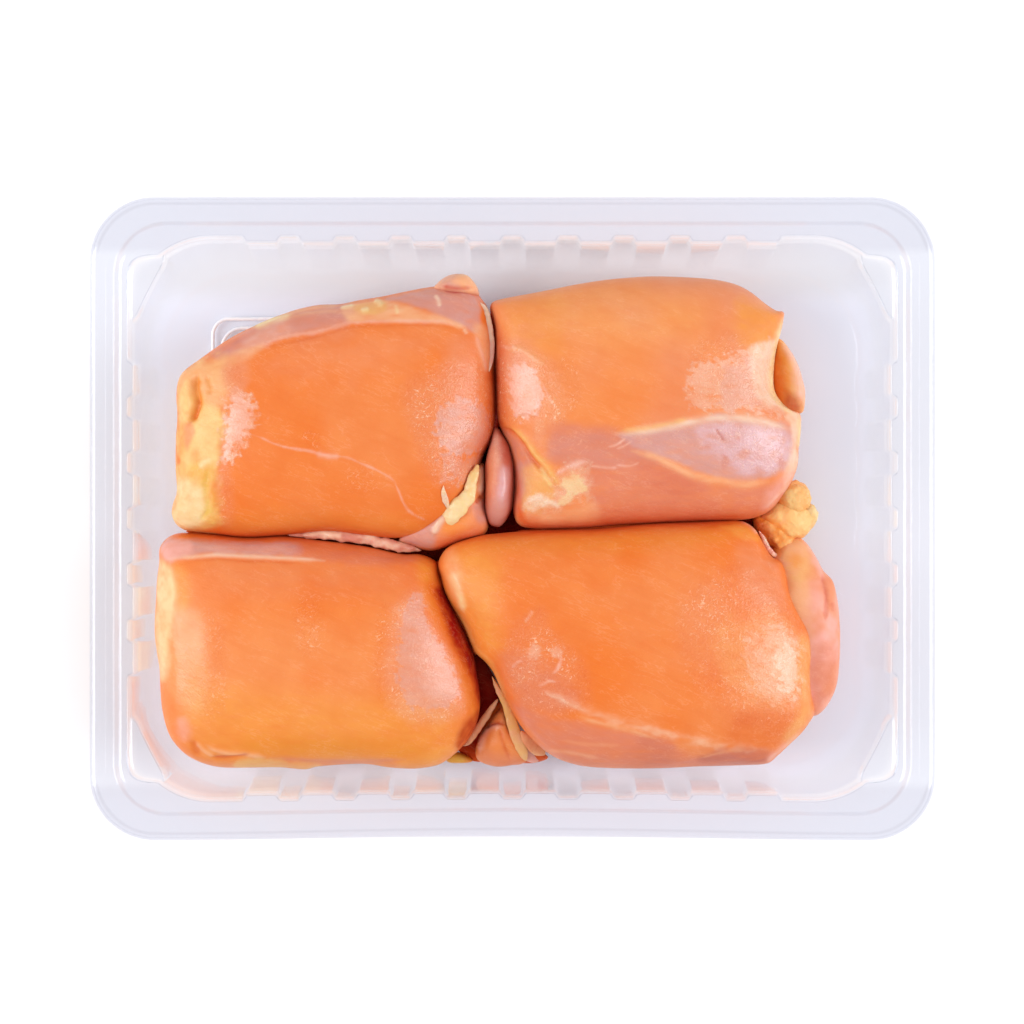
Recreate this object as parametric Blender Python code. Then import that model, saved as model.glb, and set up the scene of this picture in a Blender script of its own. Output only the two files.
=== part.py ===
"""Meat tray pack: an open clear plastic tray that holds four raw, folded boneless thighs.

The origin is under the middle of the tray, X runs along its long side and Z is up. Sizes below are in
millimetres, and a mesh is scaled to metres when it is made.
"""

from collections import namedtuple

import bmesh
import bpy
import numpy as np

MM = 0.001

# Driving sizes of the tray
TRAY_LENGTH = 230.0
TRAY_WIDTH = 175.0
TRAY_HEIGHT = 45.0
SHEET = 0.6
FRONT_BOW = 1.3
BOW_REACH = 95.0
BOW_LOWEST = 36.0

# Ribs of the wall: pads that stand in from it, evenly spaced along each side
LONG_SIDE_PADS = 10
SHORT_SIDE_PADS = 6
PAD_PITCH = 15.2
PAD_HALF_WIDTH = 4.1
PAD_FLANK = 1.3
PAD_DEPTH = 1.6

# Stacking pockets in the corners of the wall
POCKET_SIDE = 5.2
POCKET_SQUARENESS = 9.0
POCKET_SWEEP = np.radians(54.0)

# Stations round a plain ring, and the half length of each side that its stations are numbered by
CORNER_STEPS = 9
LONG_SIDE_STATIONS = np.linspace(-72.0, 72.0, 7)
SHORT_SIDE_STATIONS = np.linspace(-36.0, 36.0, 3)
LONG_SIDE_REACH = 84.0
SHORT_SIDE_REACH = 56.0
SIDES_AND_CORNERS = 8

# Insets are from the outer edge; ribs is the share of the pads' depth, pocket the share of the pockets'
# outward reach, and shelf how far the corner stands in to carry a pocket's floor
Ring = namedtuple("Ring", "inset_x inset_y radius z ribs pocket shelf", defaults=(0.0, 0.0, 0.0))

RIM_RINGS = (
    Ring(0.0, 0.0, 17.6, TRAY_HEIGHT - 3.6),
    Ring(0.25, 0.25, 17.4, TRAY_HEIGHT - 1.2),
    Ring(0.9, 0.9, 16.8, TRAY_HEIGHT - 0.3),
    Ring(2.0, 2.0, 16.0, TRAY_HEIGHT),
    Ring(6.6, 6.6, 14.2, TRAY_HEIGHT),
    Ring(8.3, 8.3, 13.0, TRAY_HEIGHT - 2.8),
)
WALL_RINGS = (
    Ring(10.4, 10.8, 22.6, TRAY_HEIGHT - 3.1, ribs=1.0, pocket=1.0),
    Ring(10.8, 11.2, 22.2, TRAY_HEIGHT - 5.6, ribs=1.0, pocket=0.95),
    Ring(11.0, 11.4, 22.0, TRAY_HEIGHT - 5.9, ribs=1.0, shelf=3.0),
    Ring(13.4, 15.2, 23.5, 7.5, ribs=1.0),
    Ring(14.6, 16.6, 24.0, 2.4, ribs=0.45),
)
FLOOR_RINGS = (
    Ring(17.0, 19.2, 22.5, SHEET),
    Ring(18.2, 20.4, 21.5, SHEET),
    Ring(22.4, 24.6, 18.0, SHEET),
    Ring(23.4, 25.6, 17.0, SHEET),
    Ring(25.4, 27.6, 15.5, SHEET + 1.0),
)
PANEL_TOP = FLOOR_RINGS[-1].z

# Room that the meat keeps from the plastic, above the tray's floor panel and beside its ribs
MEAT_GAP = 0.45

# Resolution of the meat: points round an outline, and the angles of a pillow's rows in degrees
LOBE_SIDES = 16
LOBE_ROWS = (-62, -25, 0, 22, 45, 68)
MAIN_SIDES = 46
MAIN_ROWS = (-72, -48, -22, 0, 14, 27, 40, 53, 67, 80)
OUTLINE_STEPS = 24

# Powers that shape a pillow: a smaller one gives steeper sides and a broader top
LOBE_DRAW = 0.85
MAIN_DRAW = 0.62

# Edges sharper than these are shaded sharp
TRAY_SHARP_ANGLE = np.radians(30.0)
THIGH_SHARP_ANGLE = np.radians(45.0)

# A lobe's centre, its half sizes and its turn about Z in degrees
Lobe = namedtuple("Lobe", "x y z a b c turn", defaults=(0.0,))

# A folded piece: its outline at its widest height, the place and height of its crown, and its lobes
Thigh = namedtuple("Thigh", "name colour outline crown top widest lobes")

THIGHS = (
    Thigh(
        name="thigh_rear_left",
        colour=(0.87, 0.26, 0.08),
        outline=(
            (-92.5, 40.5), (-78.0, 51.5), (-60.0, 58.8), (-37.5, 62.5), (-17.5, 65.2), (-8.6, 61.0),
            (-5.8, 47.0), (-5.0, 27.5), (-8.2, 13.0), (-15.0, 1.5), (-31.5, -3.8), (-60.0, -2.2),
            (-88.0, -2.0), (-94.0, 4.5), (-94.5, 25.0),
        ),
        crown=(-46.0, 30.0),
        top=36.0,
        widest=15.0,
        lobes=(
            Lobe(-14.5, 64.2, 21.0, 6.5, 4.4, 6.0),
            Lobe(-91.0, 30.0, 19.0, 5.6, 9.5, 9.5, 8.0),
            Lobe(-89.5, 12.0, 20.0, 7.0, 9.0, 9.5, -6.0),
            Lobe(-86.0, 1.5, 17.0, 8.5, 5.0, 9.0),
            Lobe(-16.5, -2.2, 14.0, 9.5, 6.0, 9.5, 25.0),
            Lobe(-13.8, 5.0, 15.0, 4.6, 7.4, 8.5, -20.0),
        ),
    ),
    Thigh(
        name="thigh_rear_right",
        colour=(0.90, 0.31, 0.12),
        outline=(
            (-3.6, 58.5), (7.5, 63.8), (30.0, 66.8), (53.0, 66.8), (67.0, 63.5), (75.5, 56.5),
            (73.6, 43.5), (77.0, 31.0), (80.0, 22.0), (79.0, 12.0), (72.5, 2.8), (53.0, 0.8),
            (25.0, 0.0), (6.0, -0.6), (-0.5, 5.0), (-2.8, 19.5), (-4.2, 39.0),
        ),
        crown=(38.0, 33.0),
        top=37.0,
        widest=15.5,
        lobes=(
            Lobe(75.0, 40.5, 14.5, 6.6, 9.5, 9.0, -12.0),
            Lobe(-1.6, 11.2, 16.0, 5.2, 13.0, 9.5, -3.0),
            Lobe(76.0, 3.5, 14.0, 8.0, 7.0, 9.0, 20.0),
            Lobe(80.5, 5.2, 15.5, 4.8, 4.4, 6.0),
            Lobe(78.5, 0.4, 12.5, 5.4, 3.6, 6.5),
        ),
    ),
    Thigh(
        name="thigh_front_left",
        colour=(0.89, 0.32, 0.09),
        outline=(
            (-97.0, -8.6), (-88.0, -5.3), (-71.0, -5.2), (-48.5, -5.8), (-31.5, -8.2), (-22.8, -12.0),
            (-19.2, -20.5), (-14.8, -30.5), (-11.2, -45.5), (-11.8, -57.0), (-18.0, -65.5), (-32.0, -69.3),
            (-60.0, -69.8), (-82.0, -68.6), (-92.6, -62.5), (-97.0, -52.5), (-98.6, -37.0), (-99.6, -23.0),
        ),
        crown=(-56.0, -37.0),
        top=35.5,
        widest=15.0,
        lobes=(
            Lobe(-84.0, -66.0, 13.0, 9.0, 3.6, 8.0, 14.0),
            Lobe(-97.2, -24.0, 15.0, 3.0, 12.5, 8.0, 2.0),
        ),
    ),
    Thigh(
        name="thigh_front_right",
        colour=(0.86, 0.27, 0.10),
        outline=(
            (-20.0, -15.8), (-11.8, -9.0), (5.0, -4.8), (25.0, -3.0), (53.0, -2.0), (66.5, -3.6),
            (73.5, -12.0), (80.5, -25.8), (84.0, -37.0), (83.0, -51.0), (75.0, -65.0), (53.0, -69.3),
            (30.0, -69.8), (12.0, -67.2), (3.0, -57.5), (-5.8, -43.0), (-13.8, -29.5),
        ),
        crown=(38.0, -36.0),
        top=38.0,
        widest=15.5,
        lobes=(
            Lobe(80.5, -31.5, 14.0, 11.2, 21.5, 11.0, 3.0),
            Lobe(78.5, -14.0, 13.5, 7.2, 7.5, 8.5, -30.0),
            Lobe(0.5, -60.0, 13.0, 8.4, 9.4, 10.5, 12.0),
            Lobe(-6.4, -60.5, 11.0, 5.6, 8.4, 8.5, 14.0),
        ),
    ),
)


def clear_scene():
    """Remove the objects that are in the scene already."""
    for obj in list(bpy.data.objects):
        bpy.data.objects.remove(obj, do_unlink=True)


def plain_material(name, colour, roughness, alpha=1.0):
    """Make a Principled material from a linear colour, a roughness and an alpha."""
    material = bpy.data.materials.new(name)
    material.use_nodes = True
    shader = material.node_tree.nodes["Principled BSDF"]
    shader.inputs["Base Color"].default_value = (*colour, 1.0)
    shader.inputs["Roughness"].default_value = roughness
    shader.inputs["Metallic"].default_value = 0.0
    shader.inputs["Alpha"].default_value = alpha
    return material


def mesh_object(name, mesh, material=None):
    """Put a mesh into the scene as an object, with its material if it has one."""
    obj = bpy.data.objects.new(name, mesh)
    bpy.context.scene.collection.objects.link(obj)
    if material:
        mesh.materials.append(material)
    return obj


def rib_stations(count):
    """Positions along a side where its pads start and end, and the pad's share of depth at each."""
    centres = (np.arange(count) - (count - 1) / 2) * PAD_PITCH
    foot = PAD_HALF_WIDTH + PAD_FLANK
    edges = np.array([-foot, -PAD_HALF_WIDTH, PAD_HALF_WIDTH, foot])
    return (centres[:, None] + edges).ravel(), np.tile([0.0, 1.0, 1.0, 0.0], count)


def pocket_radius(angle, radius):
    """Distance from a corner's centre to the pocket's edge: a box with rounded corners."""
    share_x = (np.cos(angle) / radius) ** POCKET_SQUARENESS
    share_y = (np.sin(angle) / (radius - POCKET_SIDE)) ** POCKET_SQUARENESS
    return (share_x + share_y) ** (-1.0 / POCKET_SQUARENESS)


def corner_radius(ring, angle):
    """Radius of a ring's corner at an angle from the X axis, out round a pocket or in along its floor."""
    reach = np.maximum(ring.radius, pocket_radius(angle, ring.radius)) - ring.radius
    sweep = np.sin(np.pi * np.clip(angle / POCKET_SWEEP, 0.0, 1.0))
    return ring.radius + ring.pocket * reach - ring.shelf * np.sqrt(sweep)


def ring_loop(ring, ribbed):
    """Points of one ring, counter-clockwise from the foot of the +X side, and a rising key for each.

    A key counts the sides and corners passed: a side adds one from end to end, and so does a corner.
    """
    half_x = TRAY_LENGTH / 2 - ring.inset_x
    half_y = TRAY_WIDTH / 2 - ring.inset_y
    along_x, depth_x = LONG_SIDE_STATIONS, np.zeros(LONG_SIDE_STATIONS.size)
    along_y, depth_y = SHORT_SIDE_STATIONS, np.zeros(SHORT_SIDE_STATIONS.size)
    if ribbed:
        along_x, depth_x = rib_stations(LONG_SIDE_PADS)
        along_y, depth_y = rib_stations(SHORT_SIDE_PADS)
    long_side = half_y - depth_x * ring.ribs * PAD_DEPTH
    short_side = half_x - depth_y * ring.ribs * PAD_DEPTH
    long_key = 0.5 * along_x / LONG_SIDE_REACH
    short_key = 0.5 * along_y / SHORT_SIDE_REACH
    quarter = np.linspace(0.0, np.pi / 2, CORNER_STEPS)
    corner_key = np.linspace(-0.5, 0.5, CORNER_STEPS)
    reach = corner_radius(ring, quarter)
    corner_x = half_x - ring.radius + reach * np.cos(quarter)
    corner_y = half_y - ring.radius + reach * np.sin(quarter)
    stretches = (
        (short_side, along_y, short_key),
        (corner_x, corner_y, corner_key + 1),
        (along_x[::-1], long_side, long_key + 2),
        (-corner_x[::-1], corner_y[::-1], corner_key + 3),
        (-short_side, along_y[::-1], short_key + 4),
        (-corner_x, -corner_y, corner_key + 5),
        (along_x, -long_side, long_key + 6),
        (corner_x[::-1], -corner_y[::-1], corner_key + 7),
    )
    x, y, keys = (np.concatenate(column) for column in zip(*stretches))
    return bow_front(np.column_stack([x, y, np.full(x.size, ring.z)])), keys


def bow_front(points):
    """Draw the upper part of the front side in a little at its middle."""
    across = np.clip(1.0 - (points[:, 0] / BOW_REACH) ** 2, 0.0, 1.0) ** 2
    height = np.clip((points[:, 2] - BOW_LOWEST) / (TRAY_HEIGHT - BOW_LOWEST), 0.0, 1.0)
    points[:, 1] += np.where(points[:, 1] < 0.0, FRONT_BOW * across * height, 0.0)
    return points


def bridge(bm, outer, inner):
    """Join two closed loops, each a list of vertices and their rising keys, in the order of the keys."""
    (verts_a, keys_a), (verts_b, keys_b) = outer, inner
    count_a, count_b = len(verts_a), len(verts_b)
    if count_a == count_b:
        for i in range(count_a):
            after = (i + 1) % count_a
            bm.faces.new((verts_a[i], verts_a[after], verts_b[after], verts_b[i]))
        return
    i = j = 0
    while i < count_a or j < count_b:
        next_a = keys_a[(i + 1) % count_a] + SIDES_AND_CORNERS * ((i + 1) // count_a)
        next_b = keys_b[(j + 1) % count_b] + SIDES_AND_CORNERS * ((j + 1) // count_b)
        here_a, here_b = verts_a[i % count_a], verts_b[j % count_b]
        if j == count_b or (i < count_a and next_a <= next_b):
            bm.faces.new((here_a, verts_a[(i + 1) % count_a], here_b))
            i += 1
        else:
            bm.faces.new((here_a, verts_b[(j + 1) % count_b], here_b))
            j += 1


def build_tray():
    """Loft the sheet from the lip over the rim and down the ribbed wall to the floor, then thicken it."""
    bm = bmesh.new()
    loops = []
    for rings, ribbed in ((RIM_RINGS, False), (WALL_RINGS, True), (FLOOR_RINGS, False)):
        for ring in rings:
            points, keys = ring_loop(ring, ribbed)
            loops.append(([bm.verts.new(point * MM) for point in points], keys))
    for outer, inner in zip(loops, loops[1:]):
        bridge(bm, outer, inner)
    panel = loops[-1][0]
    middle = bm.verts.new((0.0, 0.0, PANEL_TOP * MM))
    for here, after in zip(panel, panel[1:] + panel[:1]):
        bm.faces.new((here, after, middle))
    mesh = bpy.data.meshes.new("tray")
    bm.to_mesh(mesh)
    bm.free()
    mesh.shade_smooth()
    mesh.set_sharp_from_angle(angle=TRAY_SHARP_ANGLE)
    tray = mesh_object("tray", mesh, plain_material("clear_plastic", (0.82, 0.82, 0.90), 0.12, 0.35))
    wall = tray.modifiers.new("wall", "SOLIDIFY")
    wall.thickness = SHEET * MM
    wall.offset = -1.0
    return tray


def smooth_outline(corners, count):
    """Evenly spaced points, counter-clockwise, on the closed Catmull-Rom curve through the corners."""
    p1 = np.array(corners)
    p0, p2, p3 = np.roll(p1, 1, axis=0), np.roll(p1, -1, axis=0), np.roll(p1, -2, axis=0)
    t = np.linspace(0.0, 1.0, OUTLINE_STEPS, endpoint=False)[:, None, None]
    curve = 0.5 * (
        2.0 * p1 + (p2 - p0) * t + (2.0 * p0 - 5.0 * p1 + 4.0 * p2 - p3) * t**2
        + (3.0 * p1 - p0 - 3.0 * p2 + p3) * t**3
    )
    curve = curve.transpose(1, 0, 2).reshape(-1, 2)
    x, y = curve[:, 0], curve[:, 1]
    if np.sum(x * np.roll(y, -1) - y * np.roll(x, -1)) < 0.0:
        curve = curve[::-1]
    closed = np.vstack([curve, curve[:1]])
    length = np.concatenate([[0.0], np.cumsum(np.hypot(*np.diff(closed, axis=0).T))])
    even = np.linspace(0.0, length[-1], count, endpoint=False)
    return np.column_stack([np.interp(even, length, closed[:, 0]), np.interp(even, length, closed[:, 1])])


def keep_in_tray(points):
    """Push points that come too near the ribs or the floor panel back inside the tray."""
    rings = sorted(WALL_RINGS + FLOOR_RINGS[:1], key=lambda ring: ring.z)
    z = [ring.z for ring in rings]
    points[:, 2] = np.maximum(points[:, 2], PANEL_TOP + MEAT_GAP)
    half_x = np.interp(points[:, 2], z, [TRAY_LENGTH / 2 - ring.inset_x for ring in rings])
    half_y = np.interp(points[:, 2], z, [TRAY_WIDTH / 2 - ring.inset_y for ring in rings])
    radius = np.interp(points[:, 2], z, [ring.radius for ring in rings])
    half = np.column_stack([half_x, half_y]) - (PAD_DEPTH + MEAT_GAP)
    beyond = np.maximum(np.abs(points[:, :2]) - (half - radius[:, None]), 0.0)
    reach = np.hypot(beyond[:, 0], beyond[:, 1])
    shrink = np.minimum(1.0, radius / np.maximum(reach, 1e-6))
    moved = np.abs(points[:, :2]) - beyond * (1.0 - shrink[:, None])
    points[:, :2] = np.sign(points[:, :2]) * moved
    return points


def pillow_mesh(name, outline, crown, levels, rows, power):
    """Close a pillow over an outline.

    Levels are its lowest, widest and highest heights. A row at angle a has the outline drawn to the crown
    by cos(a) to the power, and rises by sin(a) to a power halfway between that one and 1.
    """
    low, widest, high = levels
    angle = np.radians(np.array(rows, dtype=float))
    draw = np.cos(angle) ** power
    rise = np.sign(angle) * np.abs(np.sin(angle)) ** ((1.0 + power) / 2)
    height = np.where(angle > 0.0, widest + (high - widest) * rise, widest + (widest - low) * rise)
    middle = outline.mean(axis=0)
    upper = np.clip(angle / (np.pi / 2), 0.0, 1.0)[:, None]
    centre = middle + (np.array(crown) - middle) * upper
    flat = centre[:, None, :] + (outline - centre[:, None, :]) * draw[:, None, None]
    rings = np.concatenate([flat, np.broadcast_to(height[:, None, None], (*flat.shape[:2], 1))], axis=2)
    poles = np.array([[*middle, low], [*crown, high]])
    points = keep_in_tray(np.concatenate([rings.reshape(-1, 3), poles]))
    sides, count = len(outline), len(rows)
    index = np.arange(count * sides).reshape(count, sides)
    after = np.roll(index, -1, axis=1)
    quads = np.stack([index[:-1], after[:-1], after[1:], index[1:]], axis=-1).reshape(-1, 4)
    faces = [tuple(quad) for quad in quads.tolist()]
    faces += [(b, a, count * sides) for a, b in zip(index[0].tolist(), after[0].tolist())]
    faces += [(a, b, count * sides + 1) for a, b in zip(index[-1].tolist(), after[-1].tolist())]
    mesh = bpy.data.meshes.new(name)
    mesh.from_pydata((points * MM).tolist(), [], faces)
    return mesh


def lobe_mesh(name, lobe):
    """A small pillow over an ellipse, for a roll, a flap's end or a lump of fat."""
    angle = np.linspace(0.0, 2.0 * np.pi, LOBE_SIDES, endpoint=False)
    turn = np.radians(lobe.turn)
    x, y = lobe.a * np.cos(angle), lobe.b * np.sin(angle)
    outline = np.column_stack([
        lobe.x + x * np.cos(turn) - y * np.sin(turn),
        lobe.y + x * np.sin(turn) + y * np.cos(turn),
    ])
    levels = (lobe.z - lobe.c, lobe.z, lobe.z + lobe.c)
    return pillow_mesh(name, outline, (lobe.x, lobe.y), levels, LOBE_ROWS, LOBE_DRAW)


def fuse(body, lobes):
    """Join the lobes to the body with one Boolean union, and remove them."""
    parts = bpy.data.collections.new(body.name + "_lobes")
    bpy.context.scene.collection.children.link(parts)
    for lobe in lobes:
        bpy.context.scene.collection.objects.unlink(lobe)
        parts.objects.link(lobe)
    union = body.modifiers.new("fuse", "BOOLEAN")
    union.operation = "UNION"
    union.operand_type = "COLLECTION"
    union.collection = parts
    union.solver = "EXACT"
    depsgraph = bpy.context.evaluated_depsgraph_get()
    fused = bpy.data.meshes.new_from_object(body.evaluated_get(depsgraph), depsgraph=depsgraph)
    body.modifiers.clear()
    body.data = fused
    for lobe in lobes:
        bpy.data.objects.remove(lobe, do_unlink=True)
    bpy.data.collections.remove(parts)


def build_thigh(thigh):
    """Make one folded thigh: its main pillow with its rolls, flap ends and fat fused on."""
    outline = smooth_outline(thigh.outline, MAIN_SIDES)
    levels = (PANEL_TOP + MEAT_GAP, thigh.widest, thigh.top)
    mesh = pillow_mesh(thigh.name, outline, thigh.crown, levels, MAIN_ROWS, MAIN_DRAW)
    body = mesh_object(thigh.name, mesh, plain_material(thigh.name + "_flesh", thigh.colour, 0.35))
    lobes = [
        mesh_object(f"{thigh.name}_lobe_{number}", lobe_mesh(thigh.name + "_lobe", lobe))
        for number, lobe in enumerate(thigh.lobes)
    ]
    fuse(body, lobes)
    body.data.shade_smooth()
    body.data.set_sharp_from_angle(angle=THIGH_SHARP_ANGLE)
    return body


def main():
    clear_scene()
    build_tray()
    for thigh in THIGHS:
        build_thigh(thigh)


main()
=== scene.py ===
"""Looks of the meat tray pack: the clear ribbed tray, the raw folded thighs in it and the studio.

Sizes are in millimetres in the part's own frame, and each mesh is scaled to metres when it is made. What is
drawn on the meat is placed by where it shows on the plane of the tray's rim, seen from the camera.
"""

from __future__ import annotations

import logging
from dataclasses import dataclass, field
from enum import Enum

import bpy
import numpy as np
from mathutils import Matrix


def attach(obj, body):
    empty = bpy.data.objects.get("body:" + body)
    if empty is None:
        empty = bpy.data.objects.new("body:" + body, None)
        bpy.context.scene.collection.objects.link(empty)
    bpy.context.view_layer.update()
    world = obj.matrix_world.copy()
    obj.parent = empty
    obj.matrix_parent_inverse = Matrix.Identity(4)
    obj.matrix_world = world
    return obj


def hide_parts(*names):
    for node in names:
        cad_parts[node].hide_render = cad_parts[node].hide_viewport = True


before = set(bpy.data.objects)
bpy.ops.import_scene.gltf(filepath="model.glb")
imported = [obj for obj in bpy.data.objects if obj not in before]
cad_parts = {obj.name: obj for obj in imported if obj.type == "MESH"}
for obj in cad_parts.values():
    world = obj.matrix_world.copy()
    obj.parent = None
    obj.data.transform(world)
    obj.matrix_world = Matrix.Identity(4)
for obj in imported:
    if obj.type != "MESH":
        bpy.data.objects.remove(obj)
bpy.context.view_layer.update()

LOG = logging.getLogger("meat_tray_pack")

Array = np.ndarray
Colour = tuple[float, float, float, float]
Faces = list[tuple[int, ...]]
Range = tuple[float, float, float, float]

MM = 0.001
BODY = "root"
RIM_HEIGHT = 45.0
CAMERA_RISE = 750.0
CAMERA_X = -0.1
CAMERA_Y = 1.8
TINY = 1e-12

# The curve of a display colour: a straight foot, and a power law above it
CHANNEL_TOP = 255.0
FOOT_END = 0.04045
FOOT_SLOPE = 12.92
CURVE_OFFSET = 0.055
CURVE_POWER = 2.4

# Whole numbers that hash a corner of the noise's lattice into a value
PRIME_X, PRIME_Y, PRIME_Z = 73856093, 19349663, 83492791
PRIME_SEED, PRIME_MIX = 374761393, 1274126177
LOW_32_BITS, LOW_16_BITS = 0xFFFFFFFF, 0xFFFF

# Inputs of a colour Mix node, and its output
MIX_SHARE, MIX_FIRST, MIX_SECOND = 0, 6, 7
MIX_RESULT = 2


def linear(red: float, green: float, blue: float) -> tuple[float, float, float]:
    """Linear colour of a display colour.

    Args:
        red: Red channel, from 0 to 255.
        green: Green channel.
        blue: Blue channel.

    Returns:
        The three channels from 0 to 1.
    """
    share = np.array([red, green, blue], dtype=float) / CHANNEL_TOP
    curved = ((share + CURVE_OFFSET) / (1.0 + CURVE_OFFSET)) ** CURVE_POWER
    value = np.where(share <= FOOT_END, share / FOOT_SLOPE, curved)
    return float(value[0]), float(value[1]), float(value[2])


def smoothstep(value: Array) -> Array:
    """Ease from 0 to 1: three times the square less twice the cube of the clipped value."""
    held = np.clip(value, 0.0, 1.0)
    return held * held * (3.0 - 2.0 * held)


def lattice_noise(points: Array, cell: float, seed: int) -> Array:
    """Smooth noise from -1 to 1: a hashed value at each lattice corner, blended by eased distances.

    Args:
        points: Places, one row each, in millimetres.
        cell: Size of a lattice cell in millimetres.
        seed: Whole number that picks the lattice's values.

    Returns:
        One value for each point.
    """
    place = points / cell
    base = np.floor(place).astype(np.int64)
    ease = smoothstep(place - base)
    total = np.zeros(len(points))
    for step in np.ndindex(2, 2, 2):
        corner = base + step
        key = corner[:, 0] * PRIME_X ^ corner[:, 1] * PRIME_Y ^ corner[:, 2] * PRIME_Z
        key = (key ^ seed * PRIME_SEED) & LOW_32_BITS
        key = ((key ^ key >> 13) * PRIME_MIX) & LOW_32_BITS
        value = ((key ^ key >> 16) & LOW_16_BITS) / (LOW_16_BITS / 2) - 1.0
        total += value * np.prod(np.where(np.array(step) == 1, ease, 1.0 - ease), axis=1)
    return total


def layered_noise(points: Array, cell: float, seed: int, layers: int = 3) -> Array:
    """Lattice noise summed over layers, each half the size and half the strength of the last.

    Args:
        points: Places, one row each, in millimetres.
        cell: Size of the first layer's cells in millimetres.
        seed: Whole number that picks the values.
        layers: Number of layers.

    Returns:
        One value for each point.
    """
    total = np.zeros(len(points))
    for layer in range(layers):
        total += lattice_noise(points, cell / 2**layer, seed + layer) / 2**layer
    return total


def smooth_route(corners: Array, steps: int, closed: bool) -> Array:
    """Points on the Catmull-Rom curve through the corners.

    Args:
        corners: Points that the curve passes, one row each.
        steps: Points made for each stretch between two corners.
        closed: True where the curve runs on from its last corner to its first.

    Returns:
        The curve's points in order, with the last corner included where it is open.
    """
    if closed:
        p0, p1, p2, p3 = (np.roll(corners, shift, axis=0) for shift in (1, 0, -1, -2))
    else:
        padded = np.vstack([2 * corners[0] - corners[1], corners, 2 * corners[-1] - corners[-2]])
        p0, p1, p2, p3 = padded[:-3], padded[1:-2], padded[2:-1], padded[3:]
    t = np.linspace(0.0, 1.0, steps, endpoint=False)[:, None, None]
    curve = 0.5 * (
        2.0 * p1 + (p2 - p0) * t + (2.0 * p0 - 5.0 * p1 + 4.0 * p2 - p3) * t**2
        + (3.0 * p1 - p0 - 3.0 * p2 + p3) * t**3
    )
    curve = curve.transpose(1, 0, 2).reshape(-1, corners.shape[1])
    return curve if closed else np.vstack([curve, corners[-1:]])


def length_along(route: Array) -> Array:
    """Length of a route from its first point to each of its points."""
    return np.concatenate([[0.0], np.cumsum(np.linalg.norm(np.diff(route, axis=0), axis=1))])


def even_spacing(route: Array, count: int, closed: bool) -> Array:
    """The same route with its points spread evenly by length.

    Args:
        route: Points in order, one row each.
        count: Number of points to return.
        closed: True where the route runs on from its last point to its first.

    Returns:
        The new points, with as many columns as the old ones.
    """
    line = np.vstack([route, route[:1]]) if closed else route
    length = length_along(line)
    even = np.linspace(0.0, length[-1], count, endpoint=not closed)
    return np.column_stack([np.interp(even, length, column) for column in line.T])


def distance_to_route(places: Array, route: Array) -> tuple[Array, Array]:
    """Distance of each place from a route, by its nearest point on each stretch.

    Args:
        places: Flat places, one row each.
        route: The route's points in order.

    Returns:
        The distances, and the share of the route's length at each nearest point.
    """
    length = length_along(route)
    nearest = np.full(len(places), np.inf)
    along = np.zeros(len(places))
    for start, end, before, after in zip(route[:-1], route[1:], length[:-1], length[1:]):
        step = end - start
        share = np.clip((places - start) @ step / max(float(step @ step), TINY), 0.0, 1.0)
        gap = np.linalg.norm(places - start - share[:, None] * step, axis=1)
        closer = gap < nearest
        nearest = np.where(closer, gap, nearest)
        along = np.where(closer, (before + share * (after - before)) / length[-1], along)
    return nearest, along


def inside_route(places: Array, route: Array) -> Array:
    """Which places lie inside a closed route, by counting the sides that a ray to +X crosses.

    Args:
        places: Flat places, one row each.
        route: The route's points in order.

    Returns:
        True for each place inside.
    """
    inside = np.zeros(len(places), dtype=bool)
    x, y = places[:, 0], places[:, 1]
    for (x0, y0), (x1, y1) in zip(route, np.roll(route, -1, axis=0)):
        crosses = (y0 > y) != (y1 > y)
        rise = y1 - y0 if y1 != y0 else TINY
        inside ^= crosses & (x < (x1 - x0) * (y - y0) / rise + x0)
    return inside


def seen_on_rim(points: Array) -> Array:
    """Where the camera sees each point, carried along its sight line to the plane of the rim."""
    scale = CAMERA_RISE / (RIM_HEIGHT + CAMERA_RISE - points[:, 2])
    return np.column_stack([(points[:, 0] - CAMERA_X) * scale, (points[:, 1] - CAMERA_Y) * scale])


def grid_normals(grid: Array) -> Array:
    """Unit normals of a grid of points whose columns close on themselves, out of its faces.

    Args:
        grid: Points, rows by columns by 3.

    Returns:
        The cross product of the steps across and down at each point, made one long.
    """
    across = np.roll(grid, -1, axis=1) - np.roll(grid, 1, axis=1)
    down = np.gradient(grid, axis=0)
    normal = np.cross(across, down)
    return normal / np.maximum(np.linalg.norm(normal, axis=2, keepdims=True), TINY)


def grid_faces(rows: int, columns: int, first: int = 0) -> Faces:
    """Quads of a grid whose columns close on themselves.

    Args:
        rows: Number of rows.
        columns: Number of columns.
        first: Number of the grid's first vertex.

    Returns:
        The vertex numbers of each quad, row by row.
    """
    index = first + np.arange(rows * columns).reshape(rows, columns)
    after = np.roll(index, -1, axis=1)
    quads = np.stack([index[:-1], after[:-1], after[1:], index[1:]], axis=-1)
    return [tuple(quad) for quad in quads.reshape(-1, 4).tolist()]


def cap_faces(ring: Array, pole: int, below: bool) -> Faces:
    """Triangles that close one ring of a grid on a pole.

    Args:
        ring: Vertex numbers of the ring.
        pole: Vertex number of the pole.
        below: True where the cap is below the grid and faces down.

    Returns:
        The vertex numbers of each triangle.
    """
    after = np.roll(ring, -1)
    pairs = zip(ring.tolist(), after.tolist())
    return [(b, a, pole) if below else (a, b, pole) for a, b in pairs]


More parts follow.
